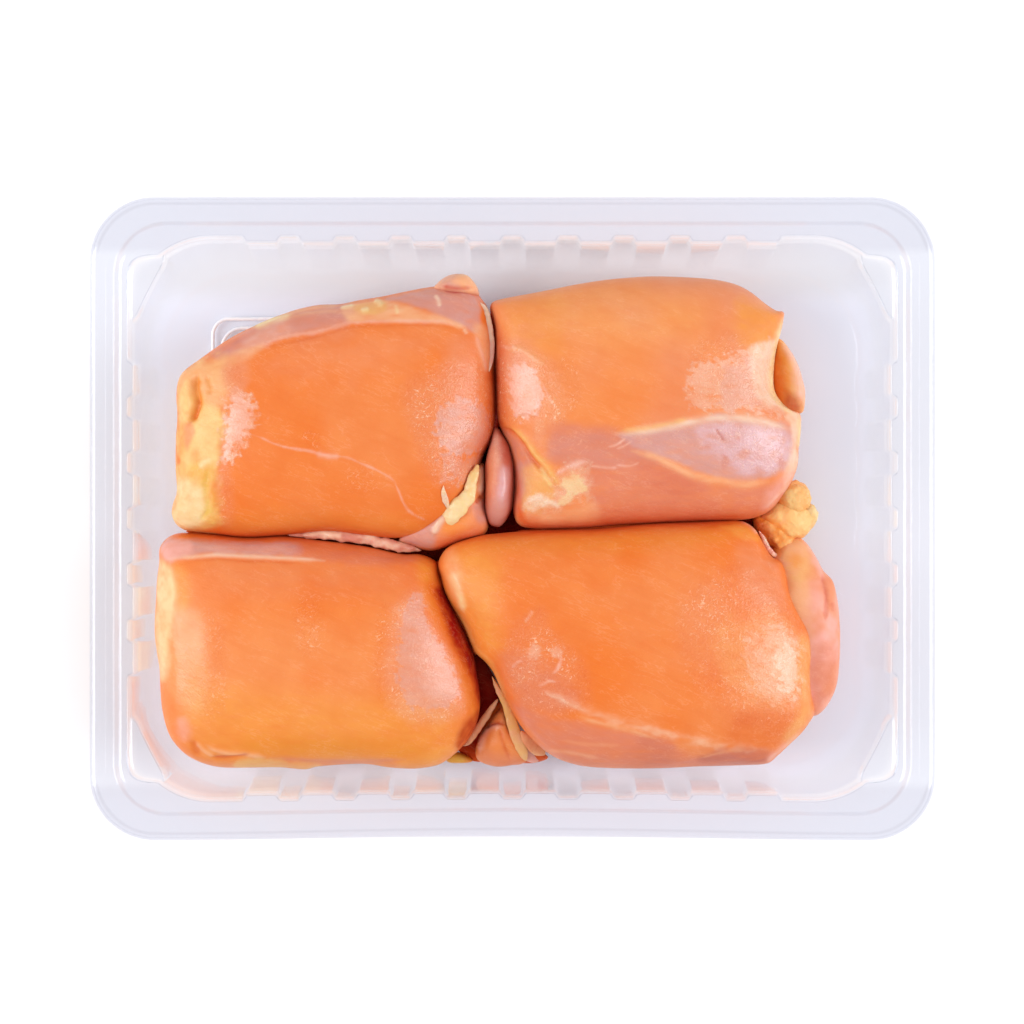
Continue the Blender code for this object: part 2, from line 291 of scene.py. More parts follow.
def make_piece(
    name: str, points: Array, faces: Faces, material: bpy.types.Material
) -> bpy.types.Object:
    """Put a mesh into the scene as a smooth piece that rides on the pack's body.

    Args:
        name: The piece's name.
        points: Its vertices in millimetres.
        faces: Vertex numbers of each face.
        material: Its finish.

    Returns:
        The new object, with its place in its mesh.
    """
    mesh = bpy.data.meshes.new(name)
    mesh.from_pydata((points * MM).tolist(), [], faces)
    mesh.materials.append(material)
    mesh.shade_smooth()
    piece = bpy.data.objects.new(name, mesh)
    bpy.context.scene.collection.objects.link(piece)
    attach(piece, BODY)
    LOG.info("%s: %d vertices", name, len(points))
    return piece


def store_colours(piece: bpy.types.Object, name: str, colours: Array) -> None:
    """Keep one linear colour for each vertex in a named attribute.

    Args:
        piece: The piece whose mesh keeps them.
        name: The attribute's name.
        colours: Red, green and blue, one row for each vertex.
    """
    attribute = piece.data.attributes.new(name, "FLOAT_COLOR", "POINT")
    opaque = np.column_stack([colours, np.ones(len(colours))])
    attribute.data.foreach_set("color", opaque.astype(np.float32).ravel())


def store_values(piece: bpy.types.Object, name: str, values: Array) -> None:
    """Keep one number for each vertex in a named attribute."""
    attribute = piece.data.attributes.new(name, "FLOAT", "POINT")
    attribute.data.foreach_set("value", values.astype(np.float32))


class NodeSheet:
    """A node tree with short calls to add nodes and join their sockets."""

    def __init__(self, tree: bpy.types.NodeTree) -> None:
        """Keep the tree that the nodes go into."""
        self.tree = tree

    def add(self, kind: str, **settings: object) -> bpy.types.Node:
        """Add a node of a kind and set its properties.

        Args:
            kind: The node's type name.
            **settings: Value of each property by its name.

        Returns:
            The new node.
        """
        node = self.tree.nodes.new(kind)
        for name, value in settings.items():
            setattr(node, name, value)
        return node

    def join(self, source: bpy.types.NodeSocket, target: bpy.types.NodeSocket) -> None:
        """Link one socket to another."""
        self.tree.links.new(source, target)

    def feed(self, socket: bpy.types.NodeSocket, term: object) -> None:
        """Link a socket to an input, or set the input to a value.

        Args:
            socket: The input.
            term: A socket or a value.
        """
        if isinstance(term, bpy.types.NodeSocket):
            self.join(term, socket)
        else:
            socket.default_value = term

    def maths(self, operation: str, *terms: object) -> bpy.types.NodeSocket:
        """Add a Math node.

        Args:
            operation: The node's operation.
            *terms: Its terms, as sockets or numbers.

        Returns:
            Its result.
        """
        node = self.add("ShaderNodeMath", operation=operation)
        for socket, term in zip(node.inputs, terms):
            self.feed(socket, term)
        return node.outputs[0]

    def mix_colour(
        self, share: object, first: object, second: object, blend: str = "MIX"
    ) -> bpy.types.NodeSocket:
        """Add a colour Mix node.

        Args:
            share: Share of the second colour, as a socket or a number.
            first: First colour, as a socket or a value.
            second: Second colour.
            blend: The node's blend type.

        Returns:
            Its result.
        """
        node = self.add("ShaderNodeMix", data_type="RGBA", blend_type=blend, clamp_factor=True)
        for number, term in ((MIX_SHARE, share), (MIX_FIRST, first), (MIX_SECOND, second)):
            self.feed(node.inputs[number], term)
        return node.outputs[MIX_RESULT]

    def ramp(self, value: bpy.types.NodeSocket, span: Range) -> bpy.types.NodeSocket:
        """Map a value from one range to another with an ease, held at the ends.

        Args:
            value: The value to map.
            span: Low and high end of the value, and the results there.

        Returns:
            The mapped value.
        """
        node = self.add("ShaderNodeMapRange", interpolation_type="SMOOTHSTEP", clamp=True)
        self.join(value, node.inputs["Value"])
        for name, end in zip(("From Min", "From Max", "To Min", "To Max"), span):
            node.inputs[name].default_value = end
        return node.outputs["Result"]

    def object_place(self) -> bpy.types.NodeSocket:
        """Coordinates in the piece's own space, which is the part's."""
        return self.add("ShaderNodeTexCoord").outputs["Object"]

    def noise(
        self, place: bpy.types.NodeSocket, scale: float, detail: float, roughness: float = 0.5,
        twist: float = 0.0,
    ) -> bpy.types.NodeSocket:
        """Add a noise texture.

        Args:
            place: Coordinates that it reads.
            scale: Its cells in each metre.
            detail: Its layers.
            roughness: Strength of each layer against the last.
            twist: Its distortion.

        Returns:
            Its value from 0 to 1.
        """
        node = self.add("ShaderNodeTexNoise")
        self.join(place, node.inputs["Vector"])
        names = ("Scale", "Detail", "Roughness", "Distortion")
        for name, value in zip(names, (scale, detail, roughness, twist)):
            node.inputs[name].default_value = value
        return node.outputs["Fac"]

    def stretched(self, place: bpy.types.NodeSocket, turn: float, stretch: float) -> bpy.types.NodeSocket:
        """Turn coordinates about Z, then stretch what they carry along their own X.

        Args:
            place: The coordinates.
            turn: Angle in radians.
            stretch: How many times longer a pattern gets.

        Returns:
            The new coordinates.
        """
        node = self.add("ShaderNodeMapping", vector_type="TEXTURE")
        node.inputs["Rotation"].default_value = (0.0, 0.0, turn)
        node.inputs["Scale"].default_value = (stretch, 1.0, 1.0)
        self.join(place, node.inputs["Vector"])
        return node.outputs["Vector"]

    def bump(
        self, height: bpy.types.NodeSocket, strength: float, depth: float, shader: bpy.types.Node
    ) -> None:
        """Bend a shader's normal and its coat's by a height.

        Args:
            height: The height, from 0 to 1.
            strength: Share of the bump that shows.
            depth: Depth in metres of a height of 1.
            shader: The Principled shader.
        """
        node = self.add("ShaderNodeBump")
        node.inputs["Strength"].default_value = strength
        node.inputs["Distance"].default_value = depth
        self.join(height, node.inputs["Height"])
        self.join(node.outputs["Normal"], shader.inputs["Normal"])
        self.join(node.outputs["Normal"], shader.inputs["Coat Normal"])


def new_material(name: str) -> tuple[bpy.types.Material, NodeSheet, bpy.types.Node, bpy.types.Node]:
    """Make a material with nodes.

    Args:
        name: The material's name.

    Returns:
        The material, its sheet, its Principled shader and its output.
    """
    material = bpy.data.materials.new(name)
    material.use_nodes = True
    nodes = material.node_tree.nodes
    return material, NodeSheet(material.node_tree), nodes["Principled BSDF"], nodes["Material Output"]


def new_group(
    name: str, inputs: dict[str, str], outputs: dict[str, str]
) -> tuple[bpy.types.NodeTree, NodeSheet]:
    """Make a shader node group with named sockets.

    Args:
        name: The group's name.
        inputs: Socket type for each input's name.
        outputs: Socket type for each output's name.

    Returns:
        The group and a sheet to fill it.
    """
    tree = bpy.data.node_groups.new(name, "ShaderNodeTree")
    for direction, sockets in (("INPUT", inputs), ("OUTPUT", outputs)):
        for label, kind in sockets.items():
            tree.interface.new_socket(name=label, in_out=direction, socket_type=kind)
    return tree, NodeSheet(tree)


@dataclass(frozen=True)
class MeatGrain:
    """Node group that varies wet meat: mottled colour, fibres, fine wrinkles, gloss, painted shade in creases
    and painted glints.

    Noises are given by scale, detail, roughness and twist, and ranges by two ends and the results there.
    """

    name: str = "meat_grain"
    mottle: Range = (120.0, 5.0, 0.55, 0.0)
    fibre: Range = (420.0, 4.0, 0.6, 0.0)
    wrinkle: Range = (1150.0, 2.0, 0.5, 0.8)
    speck: Range = (860.0, 1.0, 0.5, 0.8)
    fibre_turn: float = -0.4
    fibre_stretch: float = 5.0
    speck_turn: float = 0.6
    speck_stretch: float = 1.9
    # Colour of the painted glints: bright specks and fibre lines that stand for highlights on wet meat
    speck_colour: Colour = (1.0, 0.62, 0.4, 1.0)
    mottle_swing: float = 0.3
    mottle_base: float = 0.85
    fibre_swing: float = 0.2
    fibre_base: float = 0.9
    red_power: float = 0.3
    blue_power: float = 1.6
    speck_width: Range = (0.0, 0.04, 0.8, 0.0)
    speck_breaks: Range = (0.46, 0.58, 0.0, 1.0)
    speck_clumps: Range = (0.42, 0.56, 0.25, 1.0)
    # Painted shade: darker lines along fine creases inside the glossy patches
    crease_width: Range = (0.0, 0.05, 0.22, 0.0)
    crease_where: Range = (0.1, 0.5, 0.0, 1.0)
    # Painted highlights: faint bright lines along the fibres, in clumps
    hair_width: Range = (0.0, 0.022, 0.12, 0.0)
    hair_clumps: Range = (0.4, 0.62, 0.15, 1.0)
    wet_clumps: Range = (0.35, 0.6, 0.75, 1.0)
    sheen: Range = (0.0, 1.0, 0.5, 0.3)
    dry_sheen: Range = (0.0, 0.12, 0.95, 0.3)
    smooth_height: float = 0.25
    fatty_height: float = 0.5
    sparkle_height: float = 0.5
    speck_height: float = 0.4
    fibre_height: float = 0.5

    @staticmethod
    def from_middle(sheet: NodeSheet, noise: bpy.types.NodeSocket) -> bpy.types.NodeSocket:
        """How far a noise is from its middle value: small along winding lines."""
        return sheet.maths("ABSOLUTE", sheet.maths("SUBTRACT", noise, 0.5))

    def build(self) -> bpy.types.NodeTree:
        """Make the group from noises on Object coordinates, weighed by how fatty and how wet it is.

        Returns:
            The group.
        """
        names = ("Fatty", "Wet", "Sparkle"), ("Roughness", "Coat", "Height")
        inputs, outputs = ({name: "NodeSocketFloat" for name in group} for group in names)
        tree, sheet = new_group(
            self.name, {"Tint": "NodeSocketColor"} | inputs, {"Color": "NodeSocketColor"} | outputs
        )
        given = sheet.add("NodeGroupInput").outputs
        result = sheet.add("NodeGroupOutput").inputs
        place = sheet.object_place()
        mottle = sheet.noise(place, *self.mottle)
        fibre = sheet.noise(sheet.stretched(place, self.fibre_turn, self.fibre_stretch), *self.fibre)
        wrinkle = sheet.noise(place, *self.wrinkle)
        worm = sheet.noise(sheet.stretched(place, self.speck_turn, self.speck_stretch), *self.speck)

        value = sheet.maths("MULTIPLY_ADD", mottle, self.mottle_swing, self.mottle_base)
        strands = sheet.maths("MULTIPLY_ADD", fibre, self.fibre_swing, self.fibre_base)
        value = sheet.maths("MULTIPLY", value, strands)
        joined = sheet.add("ShaderNodeCombineXYZ")
        sheet.join(sheet.maths("POWER", value, self.red_power), joined.inputs["X"])
        sheet.join(value, joined.inputs["Y"])
        sheet.join(sheet.maths("POWER", value, self.blue_power), joined.inputs["Z"])
        shade = sheet.mix_colour(1.0, given["Tint"], joined.outputs["Vector"], "MULTIPLY")

        # Painted shade: the colour darkened again by its tint along fine creases, where sparkle is drawn
        crease = sheet.ramp(self.from_middle(sheet, wrinkle), self.crease_width)
        crease = sheet.maths("MULTIPLY", crease, sheet.ramp(given["Sparkle"], self.crease_where))
        shade = sheet.mix_colour(crease, shade, given["Tint"], "MULTIPLY")
        # Painted highlights: broken bright specks along winding lines where sparkle is drawn, and faint lines
        # along the fibres everywhere
        thin = sheet.ramp(self.from_middle(sheet, worm), self.speck_width)
        specks = sheet.maths("MULTIPLY", thin, sheet.ramp(wrinkle, self.speck_breaks))
        specks = sheet.maths("MULTIPLY", specks, given["Sparkle"])
        specks = sheet.maths("MULTIPLY", specks, sheet.ramp(mottle, self.speck_clumps))
        hair_glints = sheet.ramp(self.from_middle(sheet, fibre), self.hair_width)
        hair_glints = sheet.maths("MULTIPLY", hair_glints, sheet.ramp(mottle, self.hair_clumps))
        light = sheet.maths("MAXIMUM", specks, hair_glints)
        sheet.join(sheet.mix_colour(light, shade, self.speck_colour), result["Color"])

        wet = sheet.maths("MULTIPLY", given["Wet"], sheet.ramp(mottle, self.wet_clumps))
        rough = sheet.maths("MAXIMUM", sheet.ramp(wet, self.sheen), sheet.ramp(wet, self.dry_sheen))
        sheet.join(rough, result["Roughness"])
        sheet.join(wet, result["Coat"])

        share = sheet.maths("MULTIPLY_ADD", given["Fatty"], self.fatty_height, self.smooth_height)
        share = sheet.maths("MULTIPLY_ADD", given["Sparkle"], self.sparkle_height, share)
        height = sheet.maths("MULTIPLY", wrinkle, share)
        height = sheet.maths("MULTIPLY_ADD", specks, self.speck_height, height)
        sheet.join(sheet.maths("MULTIPLY_ADD", fibre, self.fibre_height, height), result["Height"])
        return tree


@dataclass(frozen=True)
class Flesh:
    """Finish of raw meat: the tint in the mesh, its own colour with painted highlights and painted shade,
    varied by the meat grain, over scattering flesh.
    """

    name: str
    scatter: float = 0.1
    scatter_radius: tuple[float, float, float] = (0.0035, 0.0011, 0.0005)
    bump: float = 0.5
    bump_depth: float = 0.0005
    bend: float = 1.38
    coat_bend: float = 1.4
    coat_roughness: float = 0.13
    specular: float = 0.3

    def build(self, grain: bpy.types.NodeTree) -> bpy.types.Material:
        """Make the material around a grain group.

        Args:
            grain: The group that MeatGrain makes.

        Returns:
            The material.
        """
        material, sheet, shader, _ = new_material(self.name)
        group = sheet.add("ShaderNodeGroup", node_tree=grain)
        tint = sheet.add("ShaderNodeAttribute", attribute_name="tint")
        sheet.join(tint.outputs["Color"], group.inputs["Tint"])
        for name in ("fatty", "wet", "sparkle"):
            held = sheet.add("ShaderNodeAttribute", attribute_name=name)
            sheet.join(held.outputs["Fac"], group.inputs[name.capitalize()])
        sheet.join(group.outputs["Color"], shader.inputs["Base Color"])
        sheet.join(group.outputs["Roughness"], shader.inputs["Roughness"])
        sheet.join(group.outputs["Coat"], shader.inputs["Coat Weight"])
        sheet.bump(group.outputs["Height"], self.bump, self.bump_depth, shader)
        for name, value in (
            ("IOR", self.bend), ("Specular IOR Level", self.specular), ("Coat IOR", self.coat_bend),
            ("Coat Roughness", self.coat_roughness), ("Subsurface Weight", self.scatter),
            ("Subsurface Radius", self.scatter_radius), ("Subsurface Scale", 1.0),
        ):
            shader.inputs[name].default_value = value
        return material


@dataclass(frozen=True)
class ClearPlastic:
    """Finish of the tray: thin clear plastic with a lavender cast that lets soft light through.

    Ranges are two ends and the results there, over places in metres. Painted lines along the rim, of shade
    and of highlight, are given by how far in they run and half their width, in millimetres, and by their
    share.
    """

    name: str = "clear_tray_plastic"
    tint: Colour = (0.815, 0.838, 0.905, 1.0)
    # Lighter and bluer on the tray's floor: partly the plastic's cast, partly painted light against the shade
    # there
    floor_tint: Colour = (0.835, 0.865, 0.967, 1.0)
    # Painted shade: a darker rim along the long sides and a greyer rear wall
    long_rim_tint: Colour = (0.74, 0.756, 0.832, 1.0)
    rear_wall_tint: Colour = (0.775, 0.785, 0.83, 1.0)
    # Painted shade lines where the rim's steps show edge-on, and painted highlight lines at the edge of the
    # hollow
    dark_line: Colour = (0.56, 0.56, 0.63, 1.0)
    bright_line: Colour = (1.0, 1.0, 1.0, 1.0)
    dark_lines: tuple[tuple[float, float, float], ...] = ((2.0, 0.7, 0.35), (7.5, 0.4, 0.6))
    bright_lines: tuple[tuple[float, float, float], ...] = ((10.6, 0.3, 1.0), (11.2, 0.2, 0.9))
    lamp_tint: Colour = (1.0, 1.0, 1.0, 1.0)
    long_sides: Range = (0.071, 0.0745, 0.0, 1.0)
    rim_heights: Range = (0.0405, 0.0415, 0.0, 1.0)
    rear_side: Range = (0.060, 0.068, 0.0, 1.0)
    wall_heights: Range = (0.038, 0.040, 1.0, 0.0)
    floor_heights: Range = (0.002, 0.02, 1.0, 0.0)
    gloss: Range = (0.008, 0.036, 0.3, 0.85)
    roughness: float = 0.03
    coat_roughness: float = 0.09
    coat_bend: float = 1.5
    flow_scale: float = 55.0
    flow_detail: float = 2.0
    flow_strength: float = 0.12
    flow_depth: float = 0.0006

    def shade(self, sheet: NodeSheet, place: bpy.types.Node) -> bpy.types.NodeSocket:
        """Tint of the sheet: partly painted light, lighter on the floor and shaded on the long rim and rear
        wall, with painted lines on the rim.

        Args:
            sheet: The material's sheet.
            place: The node that splits Object coordinates into their axes.

        Returns:
            The colour.
        """
        y, z = place.outputs["Y"], place.outputs["Z"]
        long_side = sheet.ramp(sheet.maths("ABSOLUTE", y), self.long_sides)
        rim = sheet.maths("MULTIPLY", long_side, sheet.ramp(z, self.rim_heights))
        rear = sheet.maths("MULTIPLY", sheet.ramp(y, self.rear_side), sheet.ramp(z, self.wall_heights))
        inset = sheet.add("ShaderNodeAttribute", attribute_name="inset").outputs["Fac"]
        # Painted light on the floor, and painted shade on the rear wall and the long rim
        tint = sheet.mix_colour(sheet.ramp(z, self.floor_heights), self.tint, self.floor_tint)
        tint = sheet.mix_colour(rear, tint, self.rear_wall_tint)
        tint = sheet.mix_colour(rim, tint, self.long_rim_tint)
        # Painted shade lines, then painted highlight lines, along the rim
        for middle, half, share in self.dark_lines:
            near = sheet.maths("ABSOLUTE", sheet.maths("SUBTRACT", inset, middle))
            line = sheet.maths("MULTIPLY", sheet.ramp(near, (0.0, half, share, 0.0)), long_side)
            tint = sheet.mix_colour(line, tint, self.dark_line)
        for middle, half, share in self.bright_lines:
            near = sheet.maths("ABSOLUTE", sheet.maths("SUBTRACT", inset, middle))
            tint = sheet.mix_colour(sheet.ramp(near, (0.0, half, share, 0.0)), tint, self.bright_line)
        return tint

    def build(self) -> bpy.types.Material:
        """Make clear plastic with a gloss coat and faint flow marks, clear to soft light and lamps.

        Returns:
            The material.
        """
        material, sheet, shader, output = new_material(self.name)
        for name, value in (
            ("Metallic", 0.0), ("Roughness", self.roughness), ("IOR", 1.0), ("Transmission Weight", 1.0),
            ("Coat Roughness", self.coat_roughness), ("Coat IOR", self.coat_bend),
        ):
            shader.inputs[name].default_value = value
        place = sheet.object_place()
        split = sheet.add("ShaderNodeSeparateXYZ")
        sheet.join(place, split.inputs["Vector"])
        sheet.join(self.shade(sheet, split), shader.inputs["Base Color"])
        sheet.join(sheet.ramp(split.outputs["Z"], self.gloss), shader.inputs["Coat Weight"])
        flow = sheet.noise(place, self.flow_scale, self.flow_detail)
        sheet.bump(flow, self.flow_strength, self.flow_depth, shader)
        clear = sheet.add("ShaderNodeBsdfTransparent")
        clear.inputs["Color"].default_value = self.lamp_tint
        rays = sheet.add("ShaderNodeLightPath").outputs
        mix = sheet.add("ShaderNodeMixShader")
        sheet.join(sheet.maths("MAXIMUM", rays["Is Shadow Ray"], rays["Is Diffuse Ray"]), mix.inputs["Fac"])
        sheet.join(shader.outputs["BSDF"], mix.inputs[1])
        sheet.join(clear.outputs["BSDF"], mix.inputs[2])
        sheet.join(mix.outputs["Shader"], output.inputs["Surface"])
        return material


@dataclass(frozen=True)
class Ring:
    """One ring of the tray's sheet: insets from the outer edge, corner radius, height and features."""

    inset_x: float
    inset_y: float
    radius: float
    z: float
    ribs: float = 0.0
    pocket: float = 0.0
    shelf: float = 0.0
    bend: float = 0.5

    def values(self) -> list[float]:
        """The ring's sizes that change smoothly from one ring to the next."""
        return [self.inset_x, self.inset_y, self.radius, self.z, self.ribs, self.pocket, self.shelf]


@dataclass
class Tray:
    """The clear tray: a flat rim with a turned-down lip, ribbed walls, corner pockets and a raised floor.

    Two of a ring's values draw its side view: its inset along X and its height.
    """

    length: float = 230.0
    width: float = 175.0
    sheet: float = 0.6
    pad_pitch: float = 15.2
    pad_half_width: float = 4.0
    pad_taper: float = 0.5
    pad_flank: float = 1.5
    pad_depth: float = 1.6
    pocket_side: float = 5.2
    pocket_squareness: float = 9.0
    pocket_sweep: float = float(np.radians(54.0))
    front_bow: float = 1.3
    bow_reach: float = 95.0
    bow_lowest: float = 36.0
    rings: tuple[Ring, ...] = (
        Ring(0.0, 0.0, 17.6, 41.4, bend=0.0),
        Ring(0.15, 0.15, 17.5, 44.0, bend=0.8),
        Ring(1.3, 1.3, 16.5, 45.0, bend=0.7),
        Ring(4.5, 4.5, 15.2, 45.0, bend=0.25),
        Ring(4.9, 4.9, 15.0, 44.8, bend=0.2),
        Ring(6.9, 6.9, 14.2, 44.8, bend=0.6),
        Ring(8.3, 8.3, 13.0, 42.2, bend=0.6),
        Ring(10.3, 10.7, 22.7, 41.9, ribs=1.0, pocket=1.0, bend=0.35),
        Ring(10.8, 11.2, 22.2, 39.4, ribs=1.0, pocket=0.93, bend=0.3),
        Ring(11.0, 11.4, 22.0, 39.1, ribs=1.0, shelf=3.0, bend=0.3),
        Ring(13.4, 15.2, 23.5, 7.5, ribs=1.0, bend=4.0),
        Ring(14.6, 16.6, 24.0, 2.0, ribs=0.4, bend=1.6),
        Ring(17.4, 19.6, 22.3, 0.6, bend=1.6),
        Ring(21.0, 23.2, 19.4, 0.6, bend=0.9),
        Ring(26.6, 28.8, 14.6, 1.6, bend=0.9),
        Ring(28.6, 30.8, 13.6, 1.6, bend=0.0),
    )
    wall_rings: tuple[int, int] = (7, 13)
    bend_limit: float = 0.45
    bend_steps: int = 4
    long_stretch: float = 8.0
    wall_steps: int = 3
    long_pads: int = 10
    short_pads: int = 6
    pad_stations: tuple[float, ...] = (2.0, 3.5, 3.9, 4.3, 4.7, 5.1, 5.5, 6.2)
    end_margin: float = 1.2
    end_stations: int = 4
    corner_stations: int = 24
    floor_rows: int = 2
    sharp_angle: float = 0.6
    side_view: tuple[int, int] = (0, 3)

    def profile(self) -> Array:
        """The side view of the sheet from lip to floor, with each bend rounded by a quadratic curve.

        Returns:
            Rows of a ring's values.
        """
        keys = np.array([ring.values() for ring in self.rings])
        drawn = list(self.side_view)
        span = np.linalg.norm(np.diff(keys[:, drawn], axis=0), axis=1)
        rows = [keys[:1]]
        t = np.linspace(0.0, 1.0, self.bend_steps)[:, None]
        for i in range(1, len(keys) - 1):
            reach = self.rings[i].bend
            before = keys[i] + (keys[i - 1] - keys[i]) * min(reach / span[i - 1], self.bend_limit)
            after = keys[i] + (keys[i + 1] - keys[i]) * min(reach / span[i], self.bend_limit)
            last = rows[-1][-1]
            if np.linalg.norm((before - last)[drawn]) > self.long_stretch:
                fill = np.linspace(0.0, 1.0, self.wall_steps + 2)[1:-1, None]
                rows.append(last + (before - last) * fill)
            rows.append((1 - t) ** 2 * before + 2 * t * (1 - t) * keys[i] + t**2 * after)
        rows.append(keys[-1:])
        return np.vstack(rows)

    def side_stations(self, reach: float, pads: int) -> Array:
        """Places along a side: close together on the pads' flanks.

        Args:
            reach: Half length of the side.
            pads: Number of pads on it.

        Returns:
            The places in order, from minus the reach to the reach.
        """
        centres = (np.arange(pads) - (pads - 1) / 2) * self.pad_pitch
        offsets = np.array(self.pad_stations)
        offsets = np.concatenate([-offsets[::-1], [0.0], offsets])
        inner = (centres[:, None] + offsets).ravel()
        inner = inner * min(1.0, reach / (inner[-1] + self.end_margin))
        ends = np.linspace(inner[-1], reach, self.end_stations + 1)[1:]
        return np.concatenate([-ends[::-1], inner, ends])

    def pad_share(self, along: Array, z: float, count: int) -> Array:
        """Share of the pads' depth at places along a side: 1 on a pad, eased to 0 over its flanks.

        Args:
            along: The places, from the side's middle.
            z: Height of the ring.
            count: Number of pads, which is even, so that the innermost are half a pitch from the middle.

        Returns:
            The share at each place.
        """
        nearest = np.clip(np.round(along / self.pad_pitch - 0.5) + 0.5, -(count - 1) / 2, (count - 1) / 2)
        gap = np.abs(along - nearest * self.pad_pitch)
        half = self.pad_half_width - self.pad_taper * (1.0 - z / RIM_HEIGHT)
        return 1.0 - smoothstep((gap - half) / self.pad_flank)

    def corner_reach(self, row: Array, angle: Array) -> Array:
        """Radius of a corner: out to a rounded box for a pocket, in for its floor.

        Args:
            row: The ring's values.
            angle: Angles from X in radians.

        Returns:
            The radius at each angle.
        """
        radius, _, _, pocket, shelf = row[2:]
        power = self.pocket_squareness
        box = (np.cos(angle) / radius) ** power + (np.sin(angle) / (radius - self.pocket_side)) ** power
        reach = np.maximum(box ** (-1.0 / power) - radius, 0.0)
        sweep = np.sin(np.pi * np.clip(angle / self.pocket_sweep, 0.0, 1.0))
        return radius + pocket * reach - shelf * np.sqrt(np.abs(sweep))

    def ring_points(self, row: Array) -> Array:
        """One ring of points, counter-clockwise from the foot of the +X side.

        Args:
            row: The ring's values.

        Returns:
            The points, one row each.
        """
        inset_x, inset_y, radius, z, ribs = row[:5]
        half_x, half_y = self.length / 2 - inset_x, self.width / 2 - inset_y
        along_x = self.side_stations(half_x - radius, self.long_pads)
        along_y = self.side_stations(half_y - radius, self.short_pads)
        long_side = half_y - ribs * self.pad_depth * self.pad_share(along_x, z, self.long_pads)
        short_side = half_x - ribs * self.pad_depth * self.pad_share(along_y, z, self.short_pads)
        quarter = np.linspace(0.0, np.pi / 2, self.corner_stations + 2)[1:-1]
        reach = self.corner_reach(row, quarter)
        corner_x = half_x - radius + reach * np.cos(quarter)
        corner_y = half_y - radius + reach * np.sin(quarter)
        x = np.concatenate([short_side, corner_x, along_x[::-1], -corner_x[::-1],
                            -short_side, -corner_x, along_x, corner_x[::-1]])
        y = np.concatenate([along_y, corner_y, long_side, corner_y[::-1],
                            along_y[::-1], -corner_y, -long_side, -corner_y[::-1]])
        across = np.clip(1.0 - (x / self.bow_reach) ** 2, 0.0, 1.0) ** 2
        height = np.clip((z - self.bow_lowest) / (RIM_HEIGHT - self.bow_lowest), 0.0, 1.0)
        y = y + np.where(y < 0.0, self.front_bow * across * height, 0.0)
        return np.column_stack([x, y, np.full(x.size, z)])

    def surface(self) -> Array:
        """The sheet's upper face, from the lip to the middle of the floor.

        Returns:
            Rings of points, rows by columns by 3.
        """
        rows = self.profile()
        grid = np.array([self.ring_points(row) for row in rows])
        shrink = np.linspace(1.0, 0.0, self.floor_rows + 1)[1:-1, None, None]
        panel = np.array([1.0, 1.0, 0.0])
        floor = grid[-1][None] * (shrink * panel) + grid[-1][None] * (1.0 - panel)
        return np.concatenate([grid, floor])

    def build(self, material: bpy.types.Material) -> bpy.types.Object:
        """Make the shell: the upper face, and its copy moved down its normals by the sheet's thickness.

        Args:
            material: The tray's finish.

        Returns:
            The tray.
        """
        upper = self.surface()
        lower = upper - grid_normals(upper) * self.sheet
        lower[:, :, 2] = np.maximum(lower[:, :, 2], 0.0)
        rows, columns = upper.shape[:2]
        count = rows * columns
        top_z = upper[-1, 0, 2]
        poles = np.array([[0.0, 0.0, top_z], [0.0, 0.0, top_z - self.sheet]])
        points = np.concatenate([upper.reshape(-1, 3), lower.reshape(-1, 3), poles])
        faces = grid_faces(rows, columns)
        faces += [face[::-1] for face in grid_faces(rows, columns, count)]
        first = np.arange(columns)
        after = np.roll(first, -1)
        corners = after, first, first + count, after + count
        faces += list(zip(*(corner.tolist() for corner in corners)))
        last = first + (rows - 1) * columns
        faces += cap_faces(last, 2 * count, False)
        faces += cap_faces(last + count, 2 * count + 1, True)
        piece = make_piece("clear_tray", points, faces, material)
        piece.data.set_sharp_from_angle(angle=self.sharp_angle)
        inset = self.profile()[:, 0]
        both = np.tile(np.repeat(np.pad(inset, (0, rows - len(inset)), mode="edge"), columns), 2)
        store_values(piece, "inset", np.append(both, both[-2:]))
        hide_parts("tray")
        return piece

    def wall_limits(self, z: Array, gap: float) -> tuple[Array, Array]:
        """Room that the walls leave for the meat at each height.

        Args:
            z: The heights.
            gap: Distance to keep from the ribs.

        Returns:
            Half sizes along X and Y, and the corner radius.
        """
        rings = sorted(self.rings[slice(*self.wall_rings)], key=lambda ring: ring.z)
        heights = [ring.z for ring in rings]
        half_x = np.interp(z, heights, [self.length / 2 - ring.inset_x for ring in rings])
        half_y = np.interp(z, heights, [self.width / 2 - ring.inset_y for ring in rings])
        radius = np.interp(z, heights, [ring.radius for ring in rings])
        return np.column_stack([half_x, half_y]) - (self.pad_depth + gap), radius


@dataclass(frozen=True)
class BrightMarkPlastic:
    """Finish of the raised mark: white plastic with a fine cool grain, a painted highlight for the light that
    the clear ridges catch.
    """

    name: str = "frosted_plastic"
    # White and cool white: the painted highlight on the ridges
    pale: Colour = (0.97, 0.97, 1.0, 1.0)
    cool: Colour = (0.9, 0.91, 0.97, 1.0)
    grain_scale: float = 900.0
    grain_detail: float = 2.0
    grain_range: Range = (0.4, 0.6, 0.0, 1.0)
    roughness: float = 0.3

    def build(self) -> bpy.types.Material:
        """Make white plastic with a fine cool grain.

        Returns:
            The material.
        """
        material, sheet, shader, _ = new_material(self.name)
        grain = sheet.noise(sheet.object_place(), self.grain_scale, self.grain_detail)
        share = sheet.ramp(grain, self.grain_range)
        sheet.join(sheet.mix_colour(share, self.pale, self.cool), shader.inputs["Base Color"])
        shader.inputs["Roughness"].default_value = self.roughness
        return material


